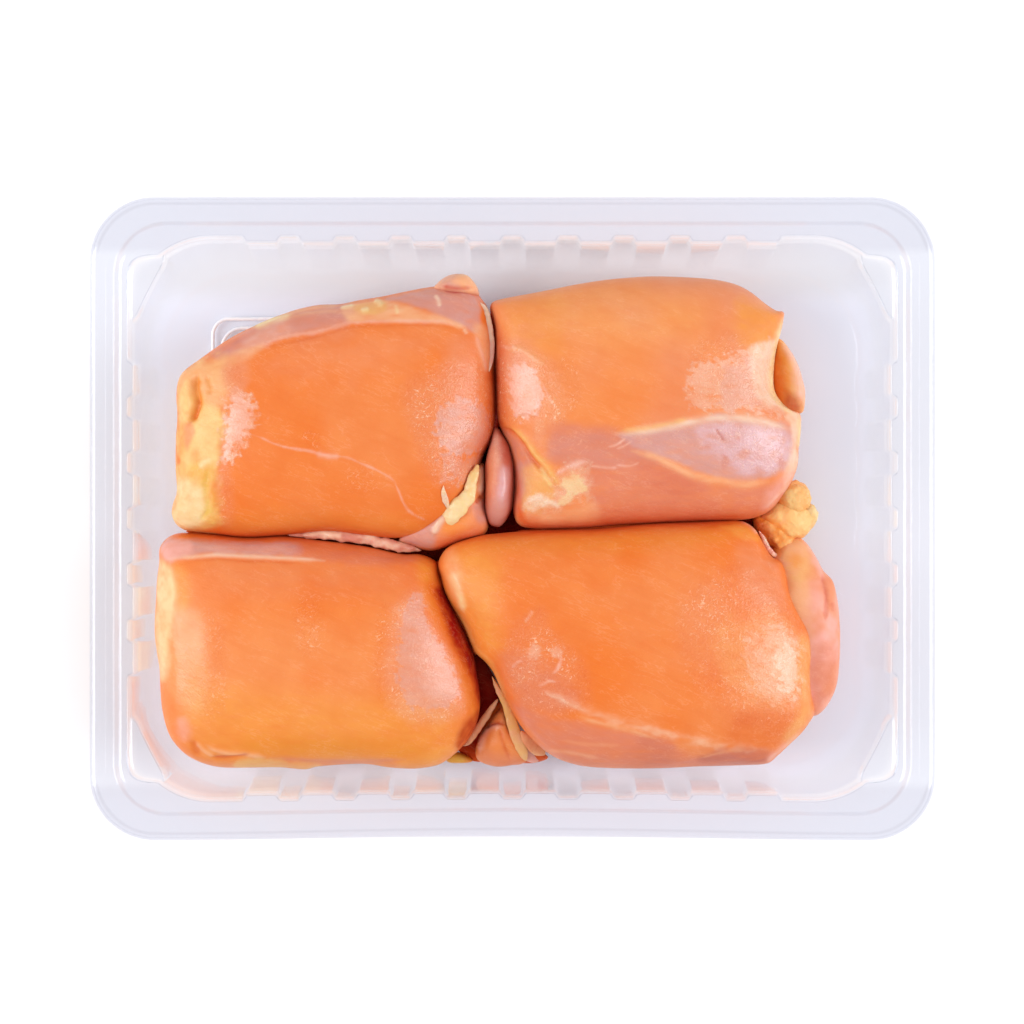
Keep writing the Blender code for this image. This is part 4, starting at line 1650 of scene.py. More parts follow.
def rear_left_marks() -> tuple[Mark, ...]:
    """What shows on the rear left thigh's body.

    Returns:
        The marks, in the order that they are laid.
    """
    return (
        Patch(px(213, 353, 240, 336, 262, 324, 300, 309, 350, 303, 352, 321, 320, 330, 290, 336, 268, 342,
            246, 352, 222, 362), Tone.MAUVE, 0.8),
        Patch(px(240, 338, 262, 326, 285, 318, 290, 332, 268, 342, 246, 350), Tone.BLUSH, 0.45, 1.8,
            ragged=1.0),
        Patch(px(290, 318, 345, 310, 348, 322, 300, 330), Tone.ROSE_MAUVE, 0.5, 1.6, ragged=1.2),
        Patch(px(300, 333, 350, 324, 352, 336, 320, 345, 290, 350), Tone.ROSE, 0.3, 2.5),
        Patch(px(262, 352, 330, 334, 420, 330, 440, 345, 380, 372, 300, 380, 262, 372), Tone.SALMON, 0.4,
            6.0, ragged=2.0),
        Patch(px(206, 358, 222, 347, 240, 338, 256, 330, 250, 338, 230, 351, 212, 361), Tone.RED, 0.35),
        Patch(px(222, 362, 240, 350, 262, 346, 250, 356, 232, 366), Tone.PEACH, 0.8),
        Patch(px(385, 299, 400, 295, 420, 291, 440, 288, 470, 290, 479, 300, 481, 318, 478, 332, 468, 328,
            455, 322, 440, 314, 420, 308, 400, 302), Tone.MAUVE, 0.95, 0.8),
        Patch(px(342, 306, 362, 301, 385, 301, 405, 305, 422, 311, 440, 316, 455, 322, 464, 328, 440, 322,
            400, 322, 365, 322, 348, 322), Tone.PEACH, 0.95, 0.8),
        Patch(px(355, 304, 372, 301, 384, 302, 386, 310, 370, 316, 355, 312), Tone.GOLD, 0.8, 0.8),
        Line(px(340, 308, 347, 307, 354, 305), Tone.PALE_FAT, 0.6, 1.0, 0.2, fatty=0.5),
        Line(px(361, 311, 365, 310, 369, 309), Tone.PALE_FAT, 0.7, 1.0, 0.3, fatty=0.5),
        Line(px(374, 300, 379, 302, 382, 307), Tone.PALE_FAT, 0.8, 1.0, 0.3, fatty=0.5),
        Line(px(395, 305, 397, 310, 398, 315), Tone.PALE_FAT, 0.5, 0.8, 0.2, fatty=0.4),
        Line(px(248, 347, 268, 342, 290, 336, 320, 331, 345, 324, 370, 322, 400, 321.5, 440, 321, 462, 326),
            Tone.BLUSH, 0.5, 0.55, 0.06, ragged=0.35),
        Line(px(255, 349, 275, 345, 300, 340, 330, 333, 350, 327, 400, 325, 440, 325, 464, 331), Tone.DEEP,
            0.5, 0.3, -0.1),
        Patch(px(400, 300, 425, 296, 445, 292, 470, 294, 474, 306, 450, 312, 420, 308), Tone.ROSE_MAUVE,
            0.45, 2.0, ragged=1.5),
        Line(px(253, 328, 262, 324, 272, 320, 282, 317, 292, 314), Tone.PALE_FAT, 0.9, 1.0, 0.15),
        Line(px(284, 314, 300, 310, 320, 306.5, 340, 305), Tone.PEACH, 0.6, 0.7, 0.1),
        Line(px(285, 318, 305, 314, 330, 311, 345, 314), Tone.PEACH, 0.6, 0.5),
        Line(px(435, 294, 438, 299, 440, 306), Tone.SINEW, 0.45, 0.9, 0.2),
        Line(px(444, 288, 456, 290, 470, 289), Tone.RED, 0.7, 0.8, -0.3),
        Line(px(464, 329, 467, 334), Tone.SINEW, 0.5, 0.7),
        Patch(px(474, 326, 484, 326, 490, 345, 491, 362, 485, 372, 479, 350), Tone.PEACH, 0.8),
        Line(px(476, 336, 480, 350, 484, 362, 487, 372), Tone.BLUSH, 0.5, 0.8, 0.1),
        Patch(px(176, 395, 179, 376, 192, 365, 206, 358, 226, 354, 226, 372, 225, 400, 224, 430, 222, 450,
            219, 470, 217, 500, 217, 532, 184, 534, 172, 520, 172, 505, 176, 480, 176, 440), Tone.GOLD, 1.0,
            2.0, ragged=2.4, fatty=0.6),
        Patch(px(180, 378, 200, 364, 228, 360, 230, 385, 226, 405, 210, 408, 200, 395, 185, 392),
            Tone.PEACH, 0.7, 1.8, fatty=0.5),
        Patch(px(196, 415, 212, 405, 222, 420, 222, 445, 218, 466, 205, 462, 196, 450, 190, 470, 184, 460,
            190, 440), Tone.FAT, 0.9, 1.4, fatty=0.9),
        Patch(px(178, 396, 186, 380, 190, 400, 186, 420, 180, 420), Tone.FAT, 0.9, 1.2, fatty=0.8),
        Patch(px(178, 484, 190, 478, 204, 486, 208, 505, 202, 522, 184, 530, 172, 518, 176, 500),
            Tone.PALE_FAT, 0.85, 1.6, fatty=1.0),
        Patch(px(190, 466, 214, 464, 210, 482, 194, 486), Tone.YELLOW, 0.55, 1.2, fatty=0.8),
        Line(px(200, 468, 206, 462, 212, 460), Tone.PALE_FAT, 1.0, 0.8, 0.3, fatty=0.8),
        Line(px(197, 374, 194, 388, 197, 402, 193, 414, 189, 423), Tone.GOLDEN, 1.3, 1.0, -1.6, fatty=0.2),
        Line(px(196, 398, 194, 410, 190, 420), Tone.DEEP, 0.6, 0.5, -0.4),
        Patch(px(184, 424, 193, 424, 192, 440, 188, 450, 184, 440), Tone.SALMON, 0.8, 0.8),
        Line(px(206, 376, 210, 388, 207, 394), Tone.GOLDEN, 0.7, 0.6, -0.4, fatty=0.5),
        Line(px(208, 470, 206, 490, 208, 510, 200, 520), Tone.YELLOW, 0.8, 0.7, -0.5, fatty=0.6),
        Line(px(226, 400, 223, 430, 222, 455, 219, 475, 218, 500, 217, 528), Tone.SALMON, 0.8, 0.4, -0.3,
            ragged=1.2),
        Patch(px(206, 486, 217, 488, 222, 504, 216, 522, 206, 516), Tone.YELLOW, 0.4, 2.0, 0.2, ragged=1.4,
            fatty=0.7),
        # Painted highlight on the left slope over a wetter coat, with painted glints
        Patch(px(234, 390, 246, 394, 256, 406, 258, 420, 252, 434, 244, 446, 233, 460, 224, 470, 222, 445,
            225, 418, 228, 402), Tone.WARM_GLOSS, 0.6, 0.6, ragged=2.0, wet=0.9, sparkle=1.0, streak=0.6,
            field=2),
        Patch(px(236, 396, 246, 400, 250, 412, 247, 428, 239, 440, 231, 450, 225, 462, 224, 440, 227, 416,
            230, 404), Tone.BLUSH, 0.75, 0.5, ragged=1.6, wet=1.0, sparkle=0.4, field=2),
        # Salmon tone with painted glints beside the left highlight, and painted glints in small spots
        Patch(px(222, 368, 238, 364, 246, 384, 238, 396, 226, 390), Tone.SALMON, 0.5, 1.6, sparkle=0.5),
        Patch(px(222, 460, 232, 470, 234, 520, 222, 528, 218, 500), Tone.SALMON, 0.35, 1.5, sparkle=0.45),
        Patch(px(305, 434, 318, 434, 318, 446, 307, 446), Tone.WARM_GLOSS, 0.0, 0.9, sparkle=0.8),
        Patch(px(350, 470, 385, 478, 375, 494, 340, 492), Tone.WARM_GLOSS, 0.0, 2.0, sparkle=0.35),
        Patch(px(226, 360, 244, 358, 250, 380, 236, 392, 226, 378), Tone.SALMON, 0.6, 1.6),
        Line(px(250, 434, 262, 438, 275, 444, 290, 448, 310, 451, 325, 455, 345, 457, 362, 464, 380, 472,
            393, 480, 397, 487), Tone.BLUSH, 0.3, 0.6, 0.06, ragged=0.2),
        Line(px(316, 453, 326, 456, 340, 457), Tone.BLUSH, 0.8, 0.7, 0.15),
        Line(px(395, 483, 399, 492, 403, 502, 409, 511, 419, 517, 428, 521), Tone.BLUSH, 0.28, 0.6, 0.05,
            ragged=0.2),
        # Painted highlight on the right slope over a wetter coat, ringed by painted glints
        Patch(px(404, 390, 425, 374, 455, 362, 478, 368, 484, 390, 492, 410, 492, 445, 482, 468, 455, 486,
            432, 478, 420, 450, 408, 420), Tone.SALMON, 0.35, 3.0, wet=0.7, sparkle=0.85),
        Patch(px(455, 335, 478, 345, 486, 375, 482, 400, 450, 398, 444, 360), Tone.SALMON, 0.6, 3.0),
        Patch(px(442, 408, 456, 400, 476, 401, 486, 408, 490, 422, 489, 440, 480, 450, 464, 455, 448, 453,
            438, 444, 436, 428), Tone.GLOSS, 0.85, 0.5, ragged=1.8, wet=0.9, sparkle=0.6, streak=0.4,
            field=2),
        Patch(px(446, 452, 462, 458, 478, 454, 484, 462, 474, 474, 455, 480, 444, 470), Tone.GLOSS, 0.5,
            0.8, ragged=3.0, wet=0.9, sparkle=1.0, field=2),
        Patch(px(240, 515, 330, 512, 420, 520, 400, 540, 240, 540), Tone.GOLDEN, 0.35, 4.0),
        # Painted shade along the gaps to the rear right and front left thighs
        Line(px(492, 366, 497, 392, 496, 424, 489, 446, 481, 464), Tone.GARNET, 0.9, 0.85, wet=0.0),
        Line(px(489, 360, 492, 392, 491, 424, 484, 446, 477, 462), Tone.DEEP, 1.8, 0.6, wet=0.05),
        Line(px(205, 534, 240, 538, 270, 537, 300, 534, 340, 533, 380, 538, 410, 539), Tone.DEEP, 1.6, 0.8,
            wet=0.0),
    )


def rear_left_folds() -> tuple[Mound, ...]:
    """Folds and lobes fused to the rear left thigh, and dark fills of painted shade in its gaps.

    Returns:
        The folds, in the order that they are made.
    """
    return (
        Mound("tip", px(434, 289, 438, 283, 446, 277, 456, 274, 466, 275, 473, 281, 478, 289, 478, 296, 466,
            297, 450, 296, 440, 293), px(458, 285), 27.0, 20.0, 12.0, (Tone.MAUVE, Tone.PEACH), seed=101,
            marks=(
                Line(px(442, 286, 456, 289, 472, 287), Tone.RED, 0.8, 0.7, -0.3),
            )),
        Mound("low_fold", px(398, 540, 412, 546, 424, 550, 434, 550.5, 446, 547, 458, 543, 470, 539, 484,
            535, 488.5, 524, 486.5, 508, 485.5, 490, 486, 474, 483, 463, 475, 468, 466, 484, 455, 500, 440,
            512, 420, 524), px(458, 514), 26.5, 15.0, 4.0, (Tone.WARM, Tone.SALMON), seed=103, power=0.7,
            sides=220, top_rows=60, swell=0.3, marks=(
                Patch(px(398, 540, 415, 528, 432, 515, 446, 509, 444, 520, 436, 532, 432, 548, 414, 546),
                    Tone.MAUVE, 0.95, 0.8),
                Patch(px(444, 522, 470, 512, 474, 524, 450, 538), Tone.GLOW, 0.6, 2.0),
                Line(px(446, 514, 438, 524, 433, 535), Tone.SINEW, 0.9, 1.0, 0.5, wet=0.9),
                Patch(px(474, 505, 484, 500, 486, 520, 478, 522), Tone.MAUVE, 0.7, 0.8),
                Line(px(481, 466, 482, 480, 480, 494), Tone.SINEW, 0.9, 0.9, 0.4),
                Line(px(476, 503, 482, 496), Tone.DEEP, 0.5, 0.8, -0.6),
                Patch(px(440, 540, 470, 530, 486, 532, 470, 544, 440, 552), Tone.DEEP, 0.5, 1.5),
            )),
        # Painted shade: dark fills low in the gaps beside the right edge and below the bottom edge
        Mound("dark_edge", px(482, 336, 492, 334, 503, 345, 506, 420, 516, 470, 512, 515, 494, 528, 480,
            510, 478, 470, 488, 430, 484, 350), px(496, 440), 11.0, 6.0, 2.1, (Tone.GARNET, Tone.CREVICE),
            seed=131, sides=220, wet=0.0),
        Mound("dark_side", px(240, 526, 300, 524, 400, 530, 430, 542, 430, 556, 400, 560, 300, 548, 240,
            544, 226, 536), px(300, 538), 11.0, 6.0, 2.1, (Tone.GARNET, Tone.CREVICE), seed=133, sides=220,
            wet=0.0),
    )


def rear_left_strands() -> tuple[Strand, ...]:
    """Sinews and edges on the rear left thigh, and dark strips of painted shade in its gaps.

    Returns:
        The strands, in the order that they are made.
    """
    return (
        Strand("tendon", px(480, 302, 485, 311, 488, 324, 490.5, 340, 491, 356, 489, 372), (0.5, 1.0, 1.15,
            1.1, 0.9, 0.4), 0.5, 0.15, seed=111, grounds=(Tone.SINEW, Tone.BLUSH)),
        Strand("fat_strand", px(478, 464, 474, 474, 471, 486, 467, 498, 458, 508, 449, 518, 441, 526), (0.8,
            1.3, 1.5, 2.0, 2.6, 2.2, 0.7), 0.9, 0.5, seed=113, rough=0.3, heights=(24.0, 25.5, 26.0, 26.5,
            26.5, 25.5, 23.0), grounds=(Tone.PALE_FAT, Tone.FAT)),
        # Painted shade: dark strips in the gaps beside the right and bottom edges
        Strand("seam", px(491, 312, 494, 330, 496, 360, 497.5, 395, 496, 420, 491, 438), (0.5, 1.1, 1.3,
            1.4, 1.3, 0.8), 1.6, 0.0, heights=(19.0, 18.5, 18.0, 18.0, 18.0, 18.0), seed=141,
            grounds=(Tone.RUST, Tone.GARNET), fatty=0.0, wet=0.1),
        Strand("side_seam", px(186, 531.5, 215, 533.5, 245, 537, 275, 536, 300, 535), (0.4, 0.9, 1.1, 1.1,
            0.5), 1.4, 0.0, heights=(15.0, 15.5, 15.5, 15.5, 15.5), seed=143, grounds=(Tone.RUST,
            Tone.DEEP), fatty=0.0, wet=0.1),
        Strand("thorn", px(443.5, 485, 443.5, 492, 445.5, 500, 449, 509), (0.15, 0.6, 0.8, 0.5), 0.4, 0.3,
            seed=117, grounds=(Tone.PALE_FAT, Tone.SINEW)),
        Strand("beaded_fold", px(287, 534.5, 300, 535, 320, 534.5, 345, 536.5, 370, 540, 392, 545, 408, 548,
            422, 550), (0.3, 0.9, 1.35, 1.6, 1.6, 1.6, 1.3, 0.6), 1.5, 0.0, heights=(18.0, 18.7, 19.0, 19.3,
            19.3, 19.3, 18.5, 17.0), seed=119, rough=0.4, grounds=(Tone.ROSE_MAUVE, Tone.SINEW)),
    )


def rear_left_thigh() -> Thigh:
    """The thigh at the rear left: a mauve strip along its top edge and yellow fat along its left.

    Returns:
        The thigh, ready to be built.
    """
    body = Mound("body", px(177, 398, 178, 385, 181, 376, 187, 369, 200, 360, 213, 351, 226, 342, 240, 334,
        255, 327, 270, 320, 285, 314, 300, 309, 320, 305, 340, 304, 360, 300, 380, 297, 400, 293, 420, 289,
        440, 286, 462, 285, 474, 289, 480, 297, 486, 305, 490.5, 316, 493.5, 330, 495, 350, 495.5, 372,
        496.5, 392, 496.5, 412, 495, 428, 491, 442, 484, 455, 479, 470, 475, 486, 470, 500, 460, 514, 445,
        525, 425, 535, 402, 538, 385, 538, 360, 535, 335, 531.5, 318, 531.5, 300, 533.5, 280, 535.5, 260,
        537, 240, 537, 220, 534.5, 200, 532, 186, 530, 177, 524, 173, 515, 174, 505, 178, 492, 177, 470,
        177, 440, 178, 420), px(349, 412), 36.0, 16.0, seed=11, **BODY_GRID, grounds=(Tone.ORANGE,
        Tone.APRICOT), marks=rear_left_marks())
    return Thigh("thigh_rear_left", body, rear_left_folds(), rear_left_strands())


def rear_right_marks() -> tuple[Mark, ...]:
    """What shows on the rear right thigh's body.

    Returns:
        The marks, in the order that they are laid.
    """
    return (
        Patch(px(510, 300, 560, 296, 560, 350, 520, 350, 500, 330), Tone.AMBER, 0.5, 4.0),
        Patch(px(600, 380, 690, 380, 690, 425, 600, 425), Tone.ORANGE, 0.25, 5.0),
        Patch(px(560, 290, 650, 285, 700, 300, 690, 340, 600, 345, 560, 330), Tone.HONEY, 0.25, 6.0),
        Patch(px(740, 300, 765, 308, 780, 315, 778, 335, 772, 345, 750, 350, 735, 330), Tone.AMBER, 0.8,
            2.5),
        # Painted highlight on the right slope over a wetter coat, with painted glints
        Patch(px(695, 366, 720, 360, 748, 352, 770, 344, 773, 370, 772, 395, 785, 412, 760, 412, 720, 410,
            692, 408, 688, 385), Tone.WARM_GLOSS, 0.55, 0.7, ragged=2.2, wet=0.8, sparkle=0.7, streak=0.5,
            field=2),
        Patch(px(722, 374, 742, 364, 758, 362, 764, 398, 745, 408, 722, 408), Tone.GLOSS, 0.45, 0.8,
            ragged=2.2, sparkle=0.6, field=2),
        Patch(px(750, 350, 762, 344, 775, 343, 771, 365, 771, 390, 776, 405, 760, 400, 752, 375),
            Tone.SINEW, 0.8, 1.2),
        Line(px(783, 317, 779, 332, 774, 352, 771.5, 372, 772, 390, 779, 403, 790, 412, 799, 415),
            Tone.PALE_FAT, 0.75, 1.0, 0.35),
        Patch(px(550, 428, 590, 425, 622, 432, 650, 450, 690, 475, 740, 487, 792, 484, 770, 512, 720, 520,
            640, 522, 595, 524, 590, 500, 580, 470, 555, 460), Tone.ROSE, 0.85, 2.0),
        Patch(px(555, 436, 600, 432, 640, 440, 660, 458, 620, 468, 575, 462, 548, 458), Tone.ROSE_MAUVE,
            0.75, 2.2),
        Patch(px(640, 462, 700, 478, 700, 495, 650, 490), Tone.RED, 0.15, 3.0),
        Patch(px(620, 434, 650, 429, 690, 421, 715, 416, 740, 416, 770, 421, 792, 426, 794, 445, 790, 462,
            776, 473, 755, 481, 730, 479, 700, 473, 678, 463, 655, 455, 636, 447), Tone.MAUVE, 0.95, 0.9),
        Patch(px(700, 426, 740, 424, 785, 430, 792, 445, 786, 462, 765, 474, 745, 476, 722, 462, 702, 448),
            Tone.PALE_MAUVE, 0.8, 1.8, ragged=1.0, wet=0.9, sparkle=0.5, streak=0.5),
        Line(px(616, 434, 640, 431, 665, 427, 690, 422, 715, 418, 740, 418, 765, 422, 790, 429), Tone.SINEW,
            1.1, 0.8, 0.15),
        Line(px(618, 431, 640, 429, 668, 424, 690, 418), Tone.GOLD, 0.7, 0.7, 0.1),
        Line(px(632, 451, 655, 457, 675, 467, 695, 476, 720, 481, 745, 484, 768, 482), Tone.PEACH, 1.0, 0.9,
            0.15),
        Line(px(607, 447, 616, 445, 626, 438), Tone.BLUSH, 0.35, 0.8, 0.1),
        Line(px(616, 449, 624, 446, 632, 441), Tone.BLUSH, 0.3, 0.6, 0.1),
        Line(px(616, 465, 630, 466, 640, 462), Tone.BLUSH, 0.3, 0.6, 0.1),
        Line(px(716, 429, 720, 435, 724, 441), Tone.DARK_MAUVE, 0.4, 0.7, -0.2),
        Patch(px(721, 455, 727, 455, 730, 462, 723, 468), Tone.ROSE_MAUVE, 0.8, 0.6),
        Patch(px(776, 460, 782, 455, 784, 464, 779, 468), Tone.ROSE_MAUVE, 0.6, 0.6),
        Patch(px(788, 415, 799, 415, 798, 440, 797, 462, 791, 480, 784, 492, 786, 470, 792, 445, 790, 428),
            Tone.SINEW, 0.8, 0.9),
        Line(px(799, 416, 799, 430, 798, 448), Tone.PALE_FAT, 0.6, 0.9, 0.2),
        Patch(px(775, 482, 792, 470, 794, 480, 783, 496, 770, 510, 762, 506), Tone.PINK, 0.6, 1.4),
        Line(px(766, 508, 775, 498, 784, 488), Tone.BLUSH, 0.5, 0.7, 0.1),
        Patch(px(500, 430, 512, 432, 524, 446, 533, 462, 530, 490, 524, 508, 514, 510, 514, 480, 510, 452),
            Tone.ROSE_MAUVE, 0.85, 1.0),
        Patch(px(514, 470, 524, 462, 527, 480, 522, 496, 515, 500), Tone.MAUVE, 0.8, 1.0, wet=0.95),
        Patch(px(522, 468, 540, 466, 552, 480, 552, 500, 538, 512, 522, 508, 524, 490), Tone.GOLD, 0.75,
            1.4, fatty=0.7),
        Patch(px(556, 478, 568, 466, 584, 464, 592, 480, 590, 498, 575, 500, 562, 510, 545, 512, 530, 512,
            540, 500, 552, 496), Tone.SINEW, 0.45, 2.0, 0.1, 1.6, 0.4, 0.9, 1.0, 0.6, 2),
        Patch(px(562, 482, 572, 474, 580, 478, 586, 490, 576, 494, 566, 492), Tone.PALE_FAT, 0.8, 0.6, 0.15,
            ragged=0.7, fatty=0.4, wet=1.0, sparkle=0.4, field=2),
        Patch(px(566, 494, 574, 498, 566, 506, 556, 504), Tone.PALE_FAT, 0.65, 0.5, 0.1, ragged=0.6,
            field=2),
        Patch(px(530, 496, 546, 494, 548, 504, 536, 510, 524, 508), Tone.SINEW, 0.6, 0.7, ragged=0.8,
            sparkle=1.0, field=2),
        Line(px(522, 506, 532, 500, 545, 498), Tone.SINEW, 0.6, 0.9, 0.15, 0.4, 0.5, 1.0),
        Line(px(540, 508, 550, 502, 560, 508), Tone.SINEW, 0.5, 0.9, 0.15, 0.4, 0.5, 1.0),
        Line(px(556, 474, 568, 468, 580, 463, 588, 462), Tone.BLUSH, 0.8, 0.9, 0.2, 0.4, 1.0, 1.0),
        Line(px(590, 466, 606, 468, 618, 468), Tone.BLUSH, 0.4, 0.6, 0.1),
        Patch(px(545, 514, 565, 510, 592, 502, 600, 515, 590, 526, 560, 528, 540, 524), Tone.PEACH, 0.7,
            1.4),
        Line(px(504, 428, 514, 434, 522, 444, 529, 455, 539, 467, 550, 480), Tone.DEEP, 0.7, 0.75, -0.7),
        Line(px(510, 428, 519, 434, 527, 442, 534, 453, 545, 465, 553, 476, 561, 488), Tone.GOLD, 0.9, 1.0,
            0.5, fatty=0.3),
        Line(px(540, 466, 545, 476, 552, 487), Tone.FAT, 0.6, 0.9, 0.3),
        # Painted highlight on the left slope over a wetter coat, with painted glints around it and in wider
        # fields
        Patch(px(498, 342, 520, 345, 548, 358, 562, 380, 566, 408, 560, 424, 535, 420, 512, 422, 500, 410,
            498, 370), Tone.WARM_GLOSS, 0.1, 2.0, wet=0.75, sparkle=0.9),
        Patch(px(512, 368, 522, 366, 534, 370, 541, 382, 542, 398, 538, 412, 524, 419, 514, 412, 511, 395),
            Tone.BLUSH, 0.85, 0.45, ragged=1.5, wet=1.0, sparkle=0.4, field=2),
        Patch(px(560, 360, 578, 366, 578, 405, 566, 410), Tone.WARM_GLOSS, 0.0, 1.6, sparkle=0.6),
        Patch(px(534, 420, 543, 420, 543, 445, 536, 445), Tone.WARM_GLOSS, 0.2, 1.0, sparkle=0.9),
        Patch(px(700, 340, 740, 330, 745, 350, 705, 372, 690, 365), Tone.WARM_GLOSS, 0.0, 2.5, sparkle=0.5),
        Patch(px(560, 430, 700, 425, 700, 440, 560, 450), Tone.WARM_GLOSS, 0.0, 3.0, sparkle=0.25),
        Line(px(508, 349, 522, 350, 536, 360, 546, 365), Tone.PEACH, 0.8, 0.7, 0.15),
        Line(px(500, 345, 508, 348, 516, 346), Tone.BLUSH, 0.4, 0.6, 0.1),
        Line(px(512, 418, 524, 412, 536, 414, 541, 400), Tone.BLUSH, 0.5, 0.6, 0.2),
        Line(px(544, 385, 550, 398, 556, 408), Tone.BLUSH, 0.35, 0.5, 0.1),
        # Painted shade along the gaps to the rear left and front right thighs
        Patch(px(600, 512, 700, 508, 760, 508, 740, 524, 600, 530), Tone.DEEP, 0.3, 3.0),
        Line(px(494, 312, 496, 350, 498, 385, 499, 418, 506, 436), Tone.GARNET, 0.8, 0.75, wet=0.0),
        Line(px(496, 320, 500, 350, 502, 385, 503, 418, 510, 436), Tone.DEEP, 1.7, 0.6, wet=0.05),
        Line(px(512, 450, 516, 480, 517, 505, 524, 522, 540, 528, 590, 526, 640, 522, 700, 520, 755, 515),
            Tone.DEEP, 1.1, 0.75, wet=0.0),
    )


def rear_right_folds() -> tuple[Mound, ...]:
    """Folds and lobes fused to the rear right thigh.

    Returns:
        The folds, in the order that they are made.
    """
    return (
        Mound("roll", px(776, 338, 782, 340, 789, 350, 796, 362, 801, 376, 804, 392, 804, 408, 800, 414,
            786, 414, 774, 404, 768, 388, 768, 362, 772, 346), px(797, 384), 22.0, 15.0, 5.0, (Tone.HONEY,
            Tone.PEACH), seed=203, power=0.7, sides=160, top_rows=50, marks=(
                Patch(px(770, 338, 784, 346, 791, 366, 792, 388, 787, 402, 770, 400), Tone.GLOW, 1.0, 1.4,
                    -0.3),
                Patch(px(768, 350, 778, 352, 785, 376, 784, 392, 778, 400, 768, 392), Tone.ORANGE, 0.9, 1.4,
                    -0.2),
                Patch(px(792, 366, 798, 366, 804, 384, 803, 398, 795, 394), Tone.BLUSH, 0.8, 1.4),
                Patch(px(782, 394, 791, 392, 801, 402, 800, 413, 784, 412), Tone.RED, 0.65, 1.4, -0.3),
                Line(px(780, 342, 790, 354, 798, 370, 802, 388, 803, 404), Tone.BLUSH, 0.9, 0.9, 0.2),
            )),
        Mound("inner_lump", px(495.5, 427, 503, 434, 510, 446, 513.5, 462, 514.5, 485, 513.5, 503, 509, 516,
            502, 525, 497, 527, 490, 524, 485.5, 512, 484.5, 495, 484.5, 478, 485, 466, 487.5, 452, 491,
            440), px(500, 486), 27.0, 16.0, 5.0, (Tone.ROSE, Tone.ROSE_MAUVE), seed=205, power=0.7,
            sides=180, top_rows=60, swell=0.3, marks=(
                Patch(px(492, 436, 500, 440, 502, 458, 496, 468, 488, 460), Tone.BLUSH, 0.75, 1.2,
                    sparkle=0.6),
                Patch(px(500, 442, 509, 448, 511, 468, 505, 470, 500, 455), Tone.RED, 0.5, 1.0),
                Patch(px(499, 470, 508, 468, 511, 490, 507, 505, 498, 505), Tone.PALE_MAUVE, 0.7, 1.3,
                    wet=0.95),
                Patch(px(487, 455, 496, 450, 497, 478, 489, 490), Tone.SALMON, 0.7, 1.3),
                Patch(px(492, 500, 506, 500, 506, 515, 497, 524, 490, 514), Tone.MAUVE, 0.7, 1.3),
            )),
        Mound("fat_root", px(754, 518, 766, 508, 778, 496, 790, 500, 806, 508, 814, 520, 808, 532, 798, 539,
            785, 542, 770, 538, 758, 530), px(788, 519), 20.5, 13.0, 4.0, (Tone.HONEY, Tone.FAT), seed=207,
            lumpy=0.24, lump_cell=2.1, fatty=0.7, sides=260, top_rows=80, ground_cell=3.0, marks=(
                Patch(px(790, 510, 806, 508, 814, 520, 806, 530, 792, 530), Tone.FAT, 0.9, 1.5, 0.3,
                    fatty=1.0),
                Patch(px(754, 520, 770, 516, 782, 524, 786, 542, 766, 540), Tone.GLOW, 0.95, 1.8, -0.6),
                Patch(px(752, 516, 762, 514, 770, 524, 762, 532), Tone.DEEP, 0.6, 1.2, -0.4),
                Patch(px(752, 510, 764, 504, 772, 509, 764, 517, 754, 517), Tone.SALMON, 0.8, 1.0),
            )),
        Mound("fat_lobe", px(772, 499, 778, 488, 786, 482, 795, 481, 804, 485, 808, 493, 809, 503, 804, 511,
            796, 515, 782, 511), px(792, 496), 21.8, 14.0, 6.0, (Tone.HONEY, Tone.FAT), seed=209,
            lumpy=0.22, lump_cell=1.9, fatty=0.7, sides=200, top_rows=64, ground_cell=3.0, marks=(
                Patch(px(772, 500, 780, 492, 786, 504, 780, 512), Tone.GLOW, 0.8, 1.6),
            )),
        Mound("fat_bead", px(802, 506, 809, 503.5, 816, 508, 817.5, 516, 813, 525, 804, 524), px(810, 514),
            18.0, 13.5, 8.0, (Tone.FAT, Tone.PALE_FAT), seed=211, lumpy=0.3, lump_cell=1.6, fatty=0.8,
            sides=140, top_rows=46, ground_cell=2.0),
    )


def rear_right_thigh() -> Thigh:
    """The thigh at the rear right: a rolled opening at its right edge and a mauve lens of muscle.

    Returns:
        The thigh, ready to be built.
    """
    body = Mound("body", px(493.5, 302, 508, 298, 530, 294, 550, 290, 575, 285, 600, 281, 625, 278.5, 655,
        277, 690, 278, 715, 280, 735, 285, 750, 293, 764, 304, 775, 311, 783, 313, 782, 322, 778, 336, 774,
        353, 772, 372, 773, 390, 779, 402, 789, 411, 799, 414, 800, 426, 798, 445, 797, 464, 792, 480, 783,
        495, 773, 508, 760, 516, 740, 520, 700, 521, 660, 522.5, 620, 525, 590, 528, 560, 529, 535, 529,
        519, 525, 513, 512, 513, 490, 512, 468, 508, 448, 502.5, 434, 498, 422, 496.5, 405, 496, 385, 495,
        360, 494, 335, 491.5, 318, 490, 308), px(640, 392), 37.0, 16.5, seed=23, **BODY_GRID,
        grounds=(Tone.WARM, Tone.SALMON), marks=rear_right_marks())
    return Thigh("thigh_rear_right", body, rear_right_folds())


